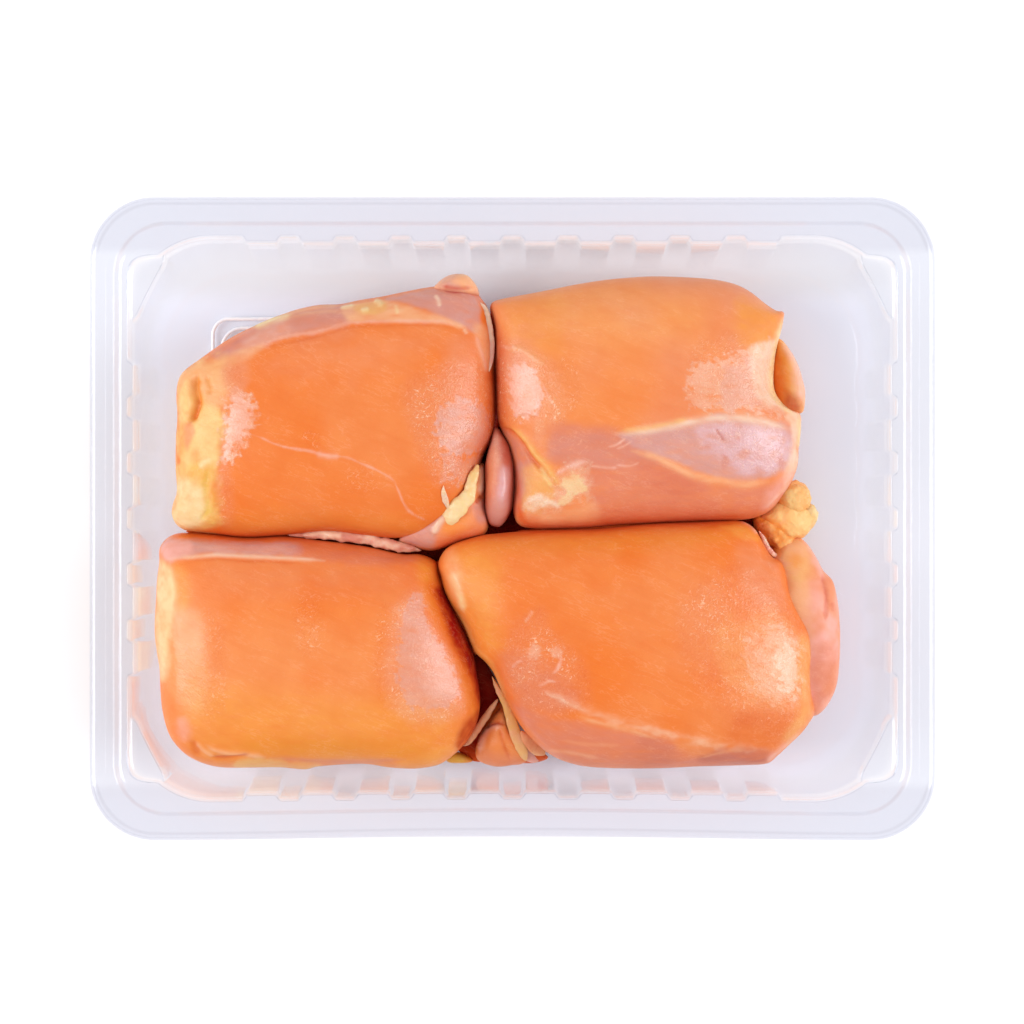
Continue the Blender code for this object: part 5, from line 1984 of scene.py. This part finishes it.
def front_left_marks() -> tuple[Mark, ...]:
    """What shows on the front left thigh's body.

    Returns:
        The marks, in the order that they are laid.
    """
    return (
        Patch(px(200, 690, 330, 700, 440, 700, 460, 740, 430, 768, 300, 770, 200, 764), Tone.AMBER, 0.75,
            6.0),
        Patch(px(250, 738, 330, 738, 400, 742, 430, 750, 400, 760, 300, 760, 250, 752), Tone.GOLDEN, 0.85,
            2.6),
        Patch(px(210, 560, 300, 563, 420, 566, 420, 590, 300, 600, 220, 590), Tone.ROSE, 0.25, 5.0),
        Patch(px(163, 542, 180, 539, 220, 541, 260, 542, 285, 541, 302, 545, 300, 556, 270, 556, 230, 554,
            195, 555, 166, 560), Tone.MAUVE, 1.0, 0.9),
        Patch(px(200, 543, 240, 543, 285, 546, 290, 551, 250, 554, 205, 552), Tone.BLUSH, 0.4, 1.4,
            ragged=1.0),
        Patch(px(162, 545, 175, 540, 190, 541, 192, 552, 178, 560, 164, 562), Tone.PINK, 0.8, 1.2),
        Patch(px(300, 543, 340, 548, 390, 556, 420, 560, 390, 566, 340, 562, 300, 557), Tone.ROSE, 0.7,
            1.4),
        Line(px(168, 559, 190, 557, 215, 555, 240, 556, 270, 557.5, 300, 559, 325, 561), Tone.SINEW, 0.6,
            0.75, 0.12),
        Line(px(185, 561, 215, 558, 240, 560, 270, 561, 300, 563), Tone.DEEP, 0.5, 0.35, -0.2),
        Patch(px(158, 566, 166, 562, 174, 575, 176, 600, 170, 640, 168, 670, 162, 680, 158, 650, 156, 625),
            Tone.PALE_FAT, 0.85, 1.2, fatty=0.3),
        Patch(px(174, 565, 186, 570, 190, 590, 188, 608, 176, 610), Tone.AMBER, 0.7, 1.6),
        Line(px(170, 575, 173, 592, 172, 606), Tone.PALE_FAT, 0.7, 0.7, 0.1),
        Patch(px(174, 612, 196, 612, 207, 640, 208, 680, 204, 712, 186, 712, 170, 690, 168, 640), Tone.GOLD,
            0.3, 2.5, wet=0.85),
        Patch(px(176, 720, 186, 718, 190, 730, 187, 740, 180, 738), Tone.PINK, 0.5, 1.4),
        # Painted highlight on the right slope over a wetter coat, with painted glints
        Patch(px(388, 640, 394, 610, 408, 594, 424, 592, 432, 620, 452, 648, 464, 680, 462, 712, 435, 724,
            405, 720, 390, 700, 384, 668), Tone.WARM_GLOSS, 0.25, 2.4, wet=0.7, sparkle=0.85),
        Patch(px(404, 610, 413, 598, 421, 598, 425, 614, 433, 632, 446, 653, 456, 676, 459, 692, 452, 704,
            435, 710, 412, 708, 402, 694, 398, 665, 400, 635), Tone.GLOSS, 0.68, 0.6, ragged=1.6, wet=0.8,
            sparkle=0.35, field=2),
        Patch(px(420, 650, 436, 644, 452, 668, 456, 690, 440, 702, 424, 690), Tone.BLUSH, 0.4, 2.0,
            ragged=1.0, field=2),
        # Painted shade: the right flank darkens through golden brown to dark red towards the gap to the front
        # right thigh, and a dark line runs along the gap to the rear left thigh
        Patch(px(418, 562, 436, 566, 452, 596, 466, 626, 478, 654, 481, 700, 474, 718, 466, 690, 455, 656,
            438, 624, 427, 600), Tone.GOLDEN, 0.9, 2.4, ragged=0.6, wet=0.05, sparkle=0.0),
        Patch(px(428, 584, 446, 588, 458, 604, 470, 630, 482, 654, 486, 678, 482, 710, 475, 706, 468, 684,
            458, 662, 445, 640, 438, 622, 432, 604), Tone.DEEP, 0.85, 2.0, ragged=0.4, wet=0.0,
            sparkle=0.0),
        Patch(px(436, 590, 453, 592, 464, 606, 475, 630, 486, 654, 490, 678, 485, 704, 478, 698, 473, 680,
            463, 660, 451, 638, 445, 622, 440, 606), Tone.GARNET, 1.0, 1.2, ragged=0.4, wet=0.0,
            sparkle=0.0),
        Patch(px(460, 730, 476, 712, 484, 716, 472, 746, 458, 754), Tone.GARNET, 0.7, 1.2, wet=0.0),
        Line(px(196, 533, 240, 535, 300, 537, 345, 542, 390, 550, 420, 553), Tone.DEEP, 0.9, 0.7, wet=0.0),
        # Painted glints
        Patch(px(295, 605, 320, 600, 320, 650, 298, 655), Tone.WARM_GLOSS, 0.0, 2.0, sparkle=0.5),
        Patch(px(203, 615, 224, 625, 224, 705, 204, 712), Tone.WARM_GLOSS, 0.0, 2.0, sparkle=0.6),
        Patch(px(376, 620, 392, 610, 392, 700, 376, 690), Tone.WARM_GLOSS, 0.0, 1.6, sparkle=0.6),
        Line(px(205, 744, 216, 750, 232, 753, 250, 754, 266, 757), Tone.PEACH, 0.6, 0.9, 0.3),
        Line(px(196, 742, 204, 750, 214, 756), Tone.PEACH, 0.6, 0.8, 0.3),
        Patch(px(190, 742, 196, 742, 200, 752, 194, 754), Tone.DEEP, 0.5, 0.8, -0.3),
        Line(px(212, 757, 226, 757, 240, 755, 250, 753), Tone.RED, 0.5, 0.55, -0.4),
        Patch(px(238, 759, 260, 757, 285, 761, 290, 768, 240, 769), Tone.GOLD, 0.95, 0.7, fatty=0.3),
        Patch(px(292, 762, 318, 763, 318, 770, 294, 769), Tone.GOLD, 0.6, 0.7, fatty=0.3),
        Patch(px(398, 760, 420, 757, 440, 748, 456, 750, 440, 764, 415, 769, 398, 768), Tone.AMBER, 0.8,
            1.1, fatty=0.3),
        Line(px(270, 758, 300, 761, 340, 763, 380, 762, 405, 760), Tone.ROSE, 0.7, 0.7, -0.1),
    )


def front_left_thigh() -> Thigh:
    """The thigh at the front left: a mauve strip along its top edge and a wide painted highlight at its
    right.

    Returns:
        The thigh, ready to be built.
    """
    body = Mound("body", px(160, 562, 160, 549, 164, 541, 171, 535.5, 181, 532.5, 200, 533, 220, 534.5, 240,
        536.5, 260, 537, 280, 536, 300, 537.5, 320, 540, 345, 543, 370, 547, 390, 551.5, 405, 554, 418, 554,
        429, 557, 437, 563, 440, 576, 445, 590, 453, 606, 461, 622, 469, 640, 474, 656, 477, 674, 479.5,
        690, 480, 706, 477, 722, 470, 737, 460, 749, 448, 759, 436, 765, 415, 768, 390, 767, 370, 764, 350,
        764, 320, 766, 305, 769, 280, 767, 250, 767, 225, 767, 208, 764, 192, 757, 180, 747, 170, 732, 164,
        710, 162, 690, 161, 670, 158, 650, 156, 630, 157, 600, 158, 580), px(310, 648), 35.5, 16.0, seed=37,
        **BODY_GRID, grounds=(Tone.WARM, Tone.ORANGE), marks=front_left_marks())
    return Thigh("thigh_front_left", body)


def front_right_marks() -> tuple[Mark, ...]:
    """What shows on the front right thigh's body.

    Returns:
        The marks, in the order that they are laid.
    """
    return (
        Patch(px(446, 552, 480, 545, 500, 560, 498, 600, 500, 640, 485, 655, 470, 630, 448, 590),
            Tone.AMBER, 0.85, 4.0),
        Patch(px(500, 538, 600, 534, 700, 528, 740, 530, 700, 546, 560, 552, 500, 550), Tone.GOLDEN, 0.5,
            3.0),
        # Painted shade along the gap to the rear right thigh
        Line(px(452, 545, 475, 537, 500, 533.5, 560, 530, 620, 527, 690, 522.5, 745, 523), Tone.DEEP, 1.1,
            0.8, wet=0.0),
        Line(px(450, 572, 456, 588, 460, 600, 463, 612), Tone.PALE_FAT, 1.1, 0.85, 0.1, wet=0.9),
        Patch(px(444, 556, 456, 552, 462, 575, 458, 600, 448, 590), Tone.PEACH, 0.5, 1.6),
        Line(px(452, 606, 459, 618, 466, 632, 472, 645, 478, 653, 487, 661, 494, 672, 500, 686, 505, 697),
            Tone.HONEY, 0.7, 1.0, 0.15, ragged=0.4, wet=0.0),
        Line(px(438, 566, 443, 584, 449, 601, 457, 615, 464, 628, 471, 643, 477, 652, 486, 660, 494, 671,
            500, 684), Tone.GLOW, 0.7, 1.0, wet=0.0),
        Patch(px(500, 655, 540, 660, 580, 700, 540, 720, 515, 706, 504, 680), Tone.ROSE, 0.5, 3.0),
        Patch(px(512, 704, 545, 716, 580, 722, 620, 730, 660, 738, 700, 746, 740, 750, 768, 750, 776, 756,
            760, 766, 700, 768, 640, 769, 580, 767, 552, 756, 532, 738), Tone.ROSE, 0.9, 1.5),
        Patch(px(640, 735, 672, 742, 670, 768, 640, 768, 640, 750), Tone.DARK_MAUVE, 0.25, 2.0),
        Patch(px(702, 752, 730, 748, 766, 752, 758, 764, 720, 765, 700, 762), Tone.DARK_MAUVE, 0.6, 1.4),
        Patch(px(676, 740, 700, 742, 716, 746, 712, 753, 690, 756, 678, 750), Tone.WARM, 0.8, 1.2),
        Line(px(540, 688, 560, 698, 585, 710, 610, 719, 640, 727, 665, 733, 690, 739, 715, 744, 745, 748,
            768, 750), Tone.SINEW, 1.2, 0.42, 0.06, ragged=0.6, streak=0.6),
        Line(px(578, 716, 605, 724, 630, 730, 655, 738), Tone.PEACH, 0.6, 0.6, 0.1),
        Line(px(560, 740, 590, 744, 620, 745), Tone.PEACH, 0.5, 0.3),
        Line(px(545, 750, 570, 752, 600, 758), Tone.PEACH, 0.5, 0.4),
        Line(px(700, 758, 725, 752, 745, 750), Tone.PEACH, 0.35, 0.4, 0.1),
        Line(px(766, 763, 775, 754, 786, 745, 800, 733), Tone.BLUSH, 0.8, 0.6),
        Patch(px(720, 525, 738, 523, 750, 528, 760, 540, 745, 539, 730, 533), Tone.AMBER, 0.85, 0.8),
        Line(px(740, 521, 750, 525, 758, 534), Tone.BLUSH, 0.5, 0.8, 0.2),
        Patch(px(740, 545, 772, 556, 785, 590, 780, 612, 755, 600, 740, 570), Tone.SALMON, 0.6, 3.0),
        # Painted highlight on the right slope over a wetter coat, with painted glints around it
        Patch(px(684, 600, 720, 575, 760, 572, 790, 600, 806, 630, 806, 690, 796, 715, 765, 722, 735, 712,
            700, 680, 684, 640), Tone.WARM_GLOSS, 0.1, 6.0, ragged=2.0, wet=0.6, sparkle=0.75),
        Patch(px(712, 630, 740, 616, 784, 618, 800, 640, 803, 672, 797, 700, 770, 708, 740, 696, 720, 668),
            Tone.HONEY, 0.3, 3.0, ragged=1.5),
        Patch(px(744, 640, 760, 630, 784, 626, 797, 642, 800, 668, 795, 694, 784, 704, 766, 700, 752, 690,
            746, 664), Tone.WARM_GLOSS, 0.42, 0.9, ragged=2.6, wet=0.8, sparkle=0.9, streak=0.6, field=2),
        Patch(px(777, 650, 788, 643, 798, 655, 799, 680, 793, 694, 783, 691, 776, 670), Tone.SINEW, 0.5,
            0.7, ragged=2.4, wet=1.0, sparkle=0.7, field=2),
        Patch(px(797, 640, 806, 636, 812, 655, 811, 690, 813, 712, 804, 728, 788, 742, 784, 735, 798, 715,
            800, 690), Tone.GOLD, 0.55, 1.4),
        Patch(px(735, 716, 775, 712, 788, 722, 780, 742, 750, 746, 728, 738), Tone.DEEP, 0.4, 3.0),
        # Painted glints and glint strokes on the left slope
        Patch(px(512, 632, 540, 608, 556, 632, 582, 660, 590, 700, 560, 712, 530, 705, 508, 680),
            Tone.WARM_GLOSS, 0.08, 2.5, wet=0.6, sparkle=0.75),
        Patch(px(529, 648, 536, 644, 541, 652, 536, 660, 530, 657), Tone.WARM_GLOSS, 0.45, 0.6, ragged=0.9,
            wet=1.0, sparkle=0.9, streak=0.6, field=2),
        Patch(px(551, 650, 558, 645, 563, 652, 557, 658), Tone.WARM_GLOSS, 0.45, 0.6, ragged=0.9, wet=1.0,
            sparkle=0.9, streak=0.6, field=2),
        Line(px(553, 674, 557, 670, 560, 664, 562, 657), Tone.BLUSH, 0.42, 0.85, 0.12, field=2),
        Line(px(538, 686, 544, 684, 550, 681, 556, 682), Tone.BLUSH, 0.4, 0.85, 0.12, field=2),
        Line(px(544, 690, 551, 696, 560, 698, 568, 703), Tone.WARM_GLOSS, 0.4, 0.7, 0.1, field=2),
        Line(px(512, 668, 517, 663, 523, 661), Tone.BLUSH, 0.3, 0.6, 0.1, field=2),
        Line(px(525, 622, 530, 616, 533, 610), Tone.WARM_GLOSS, 0.3, 0.6, 0.1, field=2),
    )


def front_right_folds() -> tuple[Mound, ...]:
    """Folds and lobes fused to the front right thigh, and dark fills of painted shade in its gaps.

    Returns:
        The folds, in the order that they are made.
    """
    return (
        Mound("under_layer", px(770, 545, 783, 537, 796, 536, 806, 543, 815, 556, 823, 570, 832, 580, 836,
            595, 838.5, 615, 839, 650, 837, 680, 831, 698, 822, 711, 812, 716, 798, 712, 782, 690, 772, 640,
            766, 590), px(808, 625), 25.0, 13.0, 4.0, (Tone.SALMON, Tone.PINK), seed=303, power=0.6,
            sides=300, top_rows=80, swell=0.4, swell_cell=9.0, marks=(
                Patch(px(782, 540, 802, 540, 812, 560, 808, 580, 790, 585, 780, 565), Tone.HONEY, 0.8, 2.4),
                Patch(px(788, 556, 797, 553, 802, 561, 797, 568, 790, 565), Tone.GLOW, 0.6, 1.8),
                Patch(px(786, 586, 800, 580, 806, 600, 800, 616, 790, 606), Tone.HONEY, 0.7, 2.0, 0.2),
                Patch(px(790, 585, 808, 590, 812, 620, 806, 650, 792, 640, 786, 610), Tone.PEACH, 0.7, 2.5),
                Patch(px(818, 645, 834, 640, 838, 670, 830, 696, 818, 708, 812, 690, 812, 665), Tone.ROSE,
                    0.7, 1.6),
                Line(px(822, 575, 826, 590, 827, 605, 825, 620), Tone.RED, 0.7, 0.45, -0.4),
                Line(px(832, 602, 834, 612), Tone.RED, 0.6, 0.35, -0.2),
                Patch(px(772, 545, 781, 541, 785, 547, 780, 554, 773, 554), Tone.GLOW, 0.9, 1.2, -0.4),
            )),
        Mound("amber_bridge", px(752, 520, 764, 513, 778, 520, 792, 533, 800, 546, 796, 558, 786, 562, 772,
            552, 760, 540), px(778, 540), 20.0, 13.0, 5.0, (Tone.GLOW, Tone.HONEY), seed=323, lumpy=0.22,
            lump_cell=1.5, fatty=0.4, sides=200, top_rows=60, ground_cell=2.5, marks=(
                Patch(px(754, 520, 768, 526, 776, 548, 768, 548, 756, 532), Tone.DEEP, 0.7, 1.2, -0.5),
            )),
        Mound("under_fold", px(476, 750, 479, 738, 486, 725, 495, 710, 503, 702, 511, 716, 519, 736, 527,
            755, 523, 763, 506, 766, 489, 765, 478, 759), px(505, 738), 19.5, 11.0, 4.0, (Tone.WARM,
            Tone.APRICOT), seed=305, power=0.95, melt=0.1, sides=200, top_rows=60, lumpy=0.15, marks=(
                Line(px(480, 752, 483, 738, 490, 727, 502, 726), Tone.BLUSH, 0.8, 0.8, 0.3, wet=0.8),
                Line(px(486, 728, 496, 723, 506, 724), Tone.RUST, 0.6, 0.7, -0.4),
                Line(px(500, 730, 504, 745, 510, 760), Tone.DEEP, 0.6, 0.6, -0.3),
                Line(px(493, 712, 499, 708, 504, 712), Tone.RUST, 0.8, 0.6, -0.3),
                Patch(px(482, 752, 500, 754, 520, 758, 516, 768, 486, 768), Tone.ROSE, 0.5, 1.4),
            )),
        Mound("under_wall", px(484, 724, 496, 704, 508, 702, 516, 722, 526, 745, 540, 752, 548, 758, 530,
            763, 500, 760, 480, 750), px(506, 730), 15.0, 9.0, 3.0, (Tone.ORANGE, Tone.DEEP), seed=307,
            sides=110),
        # Painted shade: dark fills low in the gap to the front left thigh and along the middle gap to the
        # rear thighs
        Mound("dark_gap", px(456, 745, 470, 738, 476, 715, 474, 680, 470, 655, 482, 656, 500, 690, 508, 712,
            500, 745, 490, 760, 470, 760), px(484, 700), 9.0, 5.0, 2.1, (Tone.GARNET, Tone.RED), seed=309,
            sides=110, wet=0.0, marks=(
                Patch(px(456, 748, 492, 748, 494, 764, 456, 764), Tone.DEEP, 0.8, 2.0),
            )),
        Mound("dark_middle", px(410, 548, 424, 541, 446, 536, 470, 526, 486, 510, 500, 508, 516, 508, 530,
            520, 560, 520, 620, 516, 700, 512, 756, 512, 766, 524, 756, 536, 700, 530, 620, 536, 560, 540,
            510, 545, 470, 548, 452, 556, 446, 580, 434, 584, 430, 568, 416, 560), px(500, 530), 9.0, 5.0,
            2.1, (Tone.GARNET, Tone.CREVICE), seed=313, sides=260, wet=0.0),
        Mound("gap_fat", px(446, 757, 456, 752, 468, 756, 472, 761, 458, 763, 448, 762), px(458, 758), 9.0,
            6.0, 3.0, (Tone.YELLOW, Tone.GOLDEN), seed=311, sides=70, top_rows=20),
    )


def front_right_strands() -> tuple[Strand, ...]:
    """Sinews and edges on the front right thigh, and dark strips of painted shade in its gaps.

    Returns:
        The strands, in the order that they are made.
    """
    return (
        Strand("flap_edge", px(759, 531, 764, 540, 769, 549, 776, 556, 786, 559), (0.35, 0.6, 0.7, 0.6,
            0.3), 0.55, 0.1, seed=313, grounds=(Tone.SINEW, Tone.PINK)),
        # Painted shade: dark strips in the gaps to the front left and rear right thighs
        Strand("seam", px(437, 560, 441, 574, 447, 590, 455, 608, 463, 625, 470, 640, 476, 655), (0.5, 1.3,
            1.5, 1.6, 1.6, 1.4, 0.6), 1.8, 0.0, heights=(17.0, 17.5, 18.0, 18.0, 17.5, 16.5, 15.0),
            seed=331, grounds=(Tone.RUST, Tone.DEEP), fatty=0.0, wet=0.0),
        Strand("top_seam", px(516, 531, 550, 530.5, 590, 529, 630, 526, 670, 523.5, 710, 521.5, 745, 519),
            (0.4, 0.9, 1.0, 1.0, 1.0, 0.9, 0.4), 1.4, 0.0, heights=(16.0, 16.5, 17.0, 17.0, 17.0, 17.0,
            17.0), seed=333, grounds=(Tone.RUST, Tone.DEEP), fatty=0.0, wet=0.1),
        Strand("edge_strip", px(492, 676, 498, 690, 505, 703, 511, 720, 517, 738, 523, 752, 526, 761), (0.3,
            0.8, 1.0, 1.4, 1.6, 1.5, 0.7), 0.5, 0.0, heights=(20.5, 20.0, 19.5, 19.0, 18.5, 17.0, 14.0),
            seed=315, grounds=(Tone.PEACH, Tone.GOLD)),
        Strand("slant_fold", px(498, 699, 489, 712, 479, 727, 469, 741, 463, 746), (0.5, 0.9, 1.0, 0.9,
            0.3), 0.6, 0.0, heights=(17.5, 16.5, 15.5, 14.0, 12.5), seed=317, grounds=(Tone.SALMON,
            Tone.PEACH)),
        Strand("low_strip", px(521, 731, 529, 741, 538, 749, 545, 755), (0.6, 1.6, 1.9, 0.7), 0.5, 0.0,
            heights=(20.0, 18.5, 16.5, 14.5), seed=319, grounds=(Tone.SALMON, Tone.PEACH), wet=0.05),
        Strand("low_strip_end", px(525, 746, 531, 755, 538, 761), (0.9, 2.0, 0.9), 0.5, 0.0, heights=(15.0,
            13.5, 12.0), seed=321, grounds=(Tone.PINK, Tone.PEACH)),
    )


def front_right_thigh() -> Thigh:
    """The thigh at the front right: a pale flap edge at its left and a pink layer under its right.

    Returns:
        The thigh, ready to be built.
    """
    body = Mound("body", px(438, 564, 443, 552.5, 450, 546, 461, 541, 480, 535.5, 500, 533, 530, 530.5, 560,
        529.5, 590, 529, 620, 526.5, 650, 524, 690, 522, 720, 520.5, 736, 520.5, 748, 524.5, 757, 533, 764,
        545, 771, 556, 781, 562, 786, 575, 790, 592, 798, 610, 808, 630, 811, 650, 810, 672, 811, 692, 814,
        712, 808, 724, 800, 734, 788, 745, 777, 755, 766, 763, 740, 765, 700, 766, 660, 768, 620, 768, 585,
        766, 562, 760, 547, 752, 535, 742, 522, 728, 512, 712, 505, 698, 499, 684, 493, 671, 485, 661, 476,
        653, 471, 643, 465, 628, 458, 615, 450, 603, 444, 590, 441, 577), px(640, 645), 38.0, 18.5, seed=53,
        **BODY_GRID, grounds=(Tone.ORANGE, Tone.APRICOT), marks=front_right_marks())
    return Thigh("thigh_front_right", body, front_right_folds(), front_right_strands())


@dataclass(frozen=True)
class Studio:
    """Camera over the tray, a pale floor, softboxes at both sides and a pale world."""

    lens: float = 97.23
    sensor: float = 36.0
    nearest: float = 0.01
    farthest: float = 20.0
    floor_half: float = 1.6
    floor_drop: float = 0.0002
    floor_noise: tuple[float, float] = (6.0, 3.0)
    floor_shades: Range = (0.3, 0.7, 0.93, 0.95)
    floor_roughness: float = 0.9
    world_colour: Colour = (0.98, 0.98, 1.04, 1.0)
    world_strength: float = 0.56
    side_watts: float = 6.9
    side_size: tuple[float, float] = (0.55, 0.8)
    side_distance: float = 0.85
    side_height: float = 0.62
    bounces: int = 12
    transmission_bounces: int = 10

    def build_camera(self) -> None:
        """Place the camera straight above, as high over the rim as the photograph was taken."""
        data = bpy.data.cameras.new("camera")
        data.lens = self.lens
        data.sensor_width = self.sensor
        data.clip_start = self.nearest
        data.clip_end = self.farthest
        camera = bpy.data.objects.new("camera", data)
        camera.location = (CAMERA_X * MM, CAMERA_Y * MM, (RIM_HEIGHT + CAMERA_RISE) * MM)
        bpy.context.scene.collection.objects.link(camera)
        bpy.context.scene.camera = camera

    def floor_material(self) -> bpy.types.Material:
        """Make the floor's finish: pale, with a faint grain of brightness.

        Returns:
            The material.
        """
        material, sheet, shader, _ = new_material("pale_floor")
        shade = sheet.ramp(sheet.noise(sheet.object_place(), *self.floor_noise), self.floor_shades)
        joined = sheet.add("ShaderNodeCombineXYZ")
        for socket in joined.inputs:
            sheet.join(shade, socket)
        sheet.join(joined.outputs["Vector"], shader.inputs["Base Color"])
        shader.inputs["Roughness"].default_value = self.floor_roughness
        shader.inputs["Specular IOR Level"].default_value = 0.0
        return material

    def build_floor(self) -> None:
        """Lay the floor under the tray, as a piece of the stage."""
        half = self.floor_half
        corners = [(-half, -half, 0), (half, -half, 0), (half, half, 0), (-half, half, 0)]
        mesh = bpy.data.meshes.new("floor")
        mesh.from_pydata(corners, [], [(0, 1, 2, 3)])
        mesh.materials.append(self.floor_material())
        floor = bpy.data.objects.new("floor", mesh)
        floor.location.z = -self.floor_drop
        bpy.context.scene.collection.objects.link(floor)

    def add_softbox(self, name: str, side: float) -> None:
        """Hang one rectangular softbox that faces the tray.

        Args:
            name: The light's name.
            side: -1 for the left, and 1 for the right.
        """
        data = bpy.data.lights.new(name, "AREA")
        data.shape = "RECTANGLE"
        data.size, data.size_y = self.side_size
        data.energy = self.side_watts
        light = bpy.data.objects.new(name, data)
        light.location = (side * self.side_distance, 0.0, self.side_height)
        light.rotation_euler = light.location.to_track_quat("Z", "Y").to_euler()
        bpy.context.scene.collection.objects.link(light)

    def build_lights(self) -> None:
        """Hang a softbox at each side, under a pale world."""
        self.add_softbox("softbox_left", -1.0)
        self.add_softbox("softbox_right", 1.0)
        world = bpy.data.worlds.new("studio")
        bpy.context.scene.world = world
        world.use_nodes = True
        backdrop = world.node_tree.nodes["Background"]
        backdrop.inputs["Color"].default_value = self.world_colour
        backdrop.inputs["Strength"].default_value = self.world_strength

    def set_view(self) -> None:
        """Show colours plainly, clean the noise, and let light pass the clear walls."""
        scene = bpy.context.scene
        scene.view_settings.view_transform = "Standard"
        scene.view_settings.look = "None"
        scene.cycles.use_denoising = True
        scene.cycles.max_bounces = self.bounces
        scene.cycles.transmission_bounces = self.transmission_bounces
        scene.cycles.transparent_max_bounces = self.bounces
        scene.cycles.caustics_reflective = False
        scene.cycles.caustics_refractive = False

    def build(self) -> None:
        """Set up everything round the pack."""
        self.build_camera()
        self.build_floor()
        self.build_lights()
        self.set_view()


def main() -> None:
    """Build the tray, the meat and the studio, and hide the CAD parts that they replace."""
    logging.basicConfig(level=logging.INFO, format="%(message)s")
    tray = Tray()
    tray.build(ClearPlastic().build())
    BaseMark().build(BrightMarkPlastic().build())
    grain = MeatGrain().build()
    for thigh in (rear_left_thigh(), rear_right_thigh(), front_left_thigh(), front_right_thigh()):
        thigh.build(tray, Flesh(thigh.slot).build(grain))
    Studio().build()


if __name__ == "__main__":
    main()
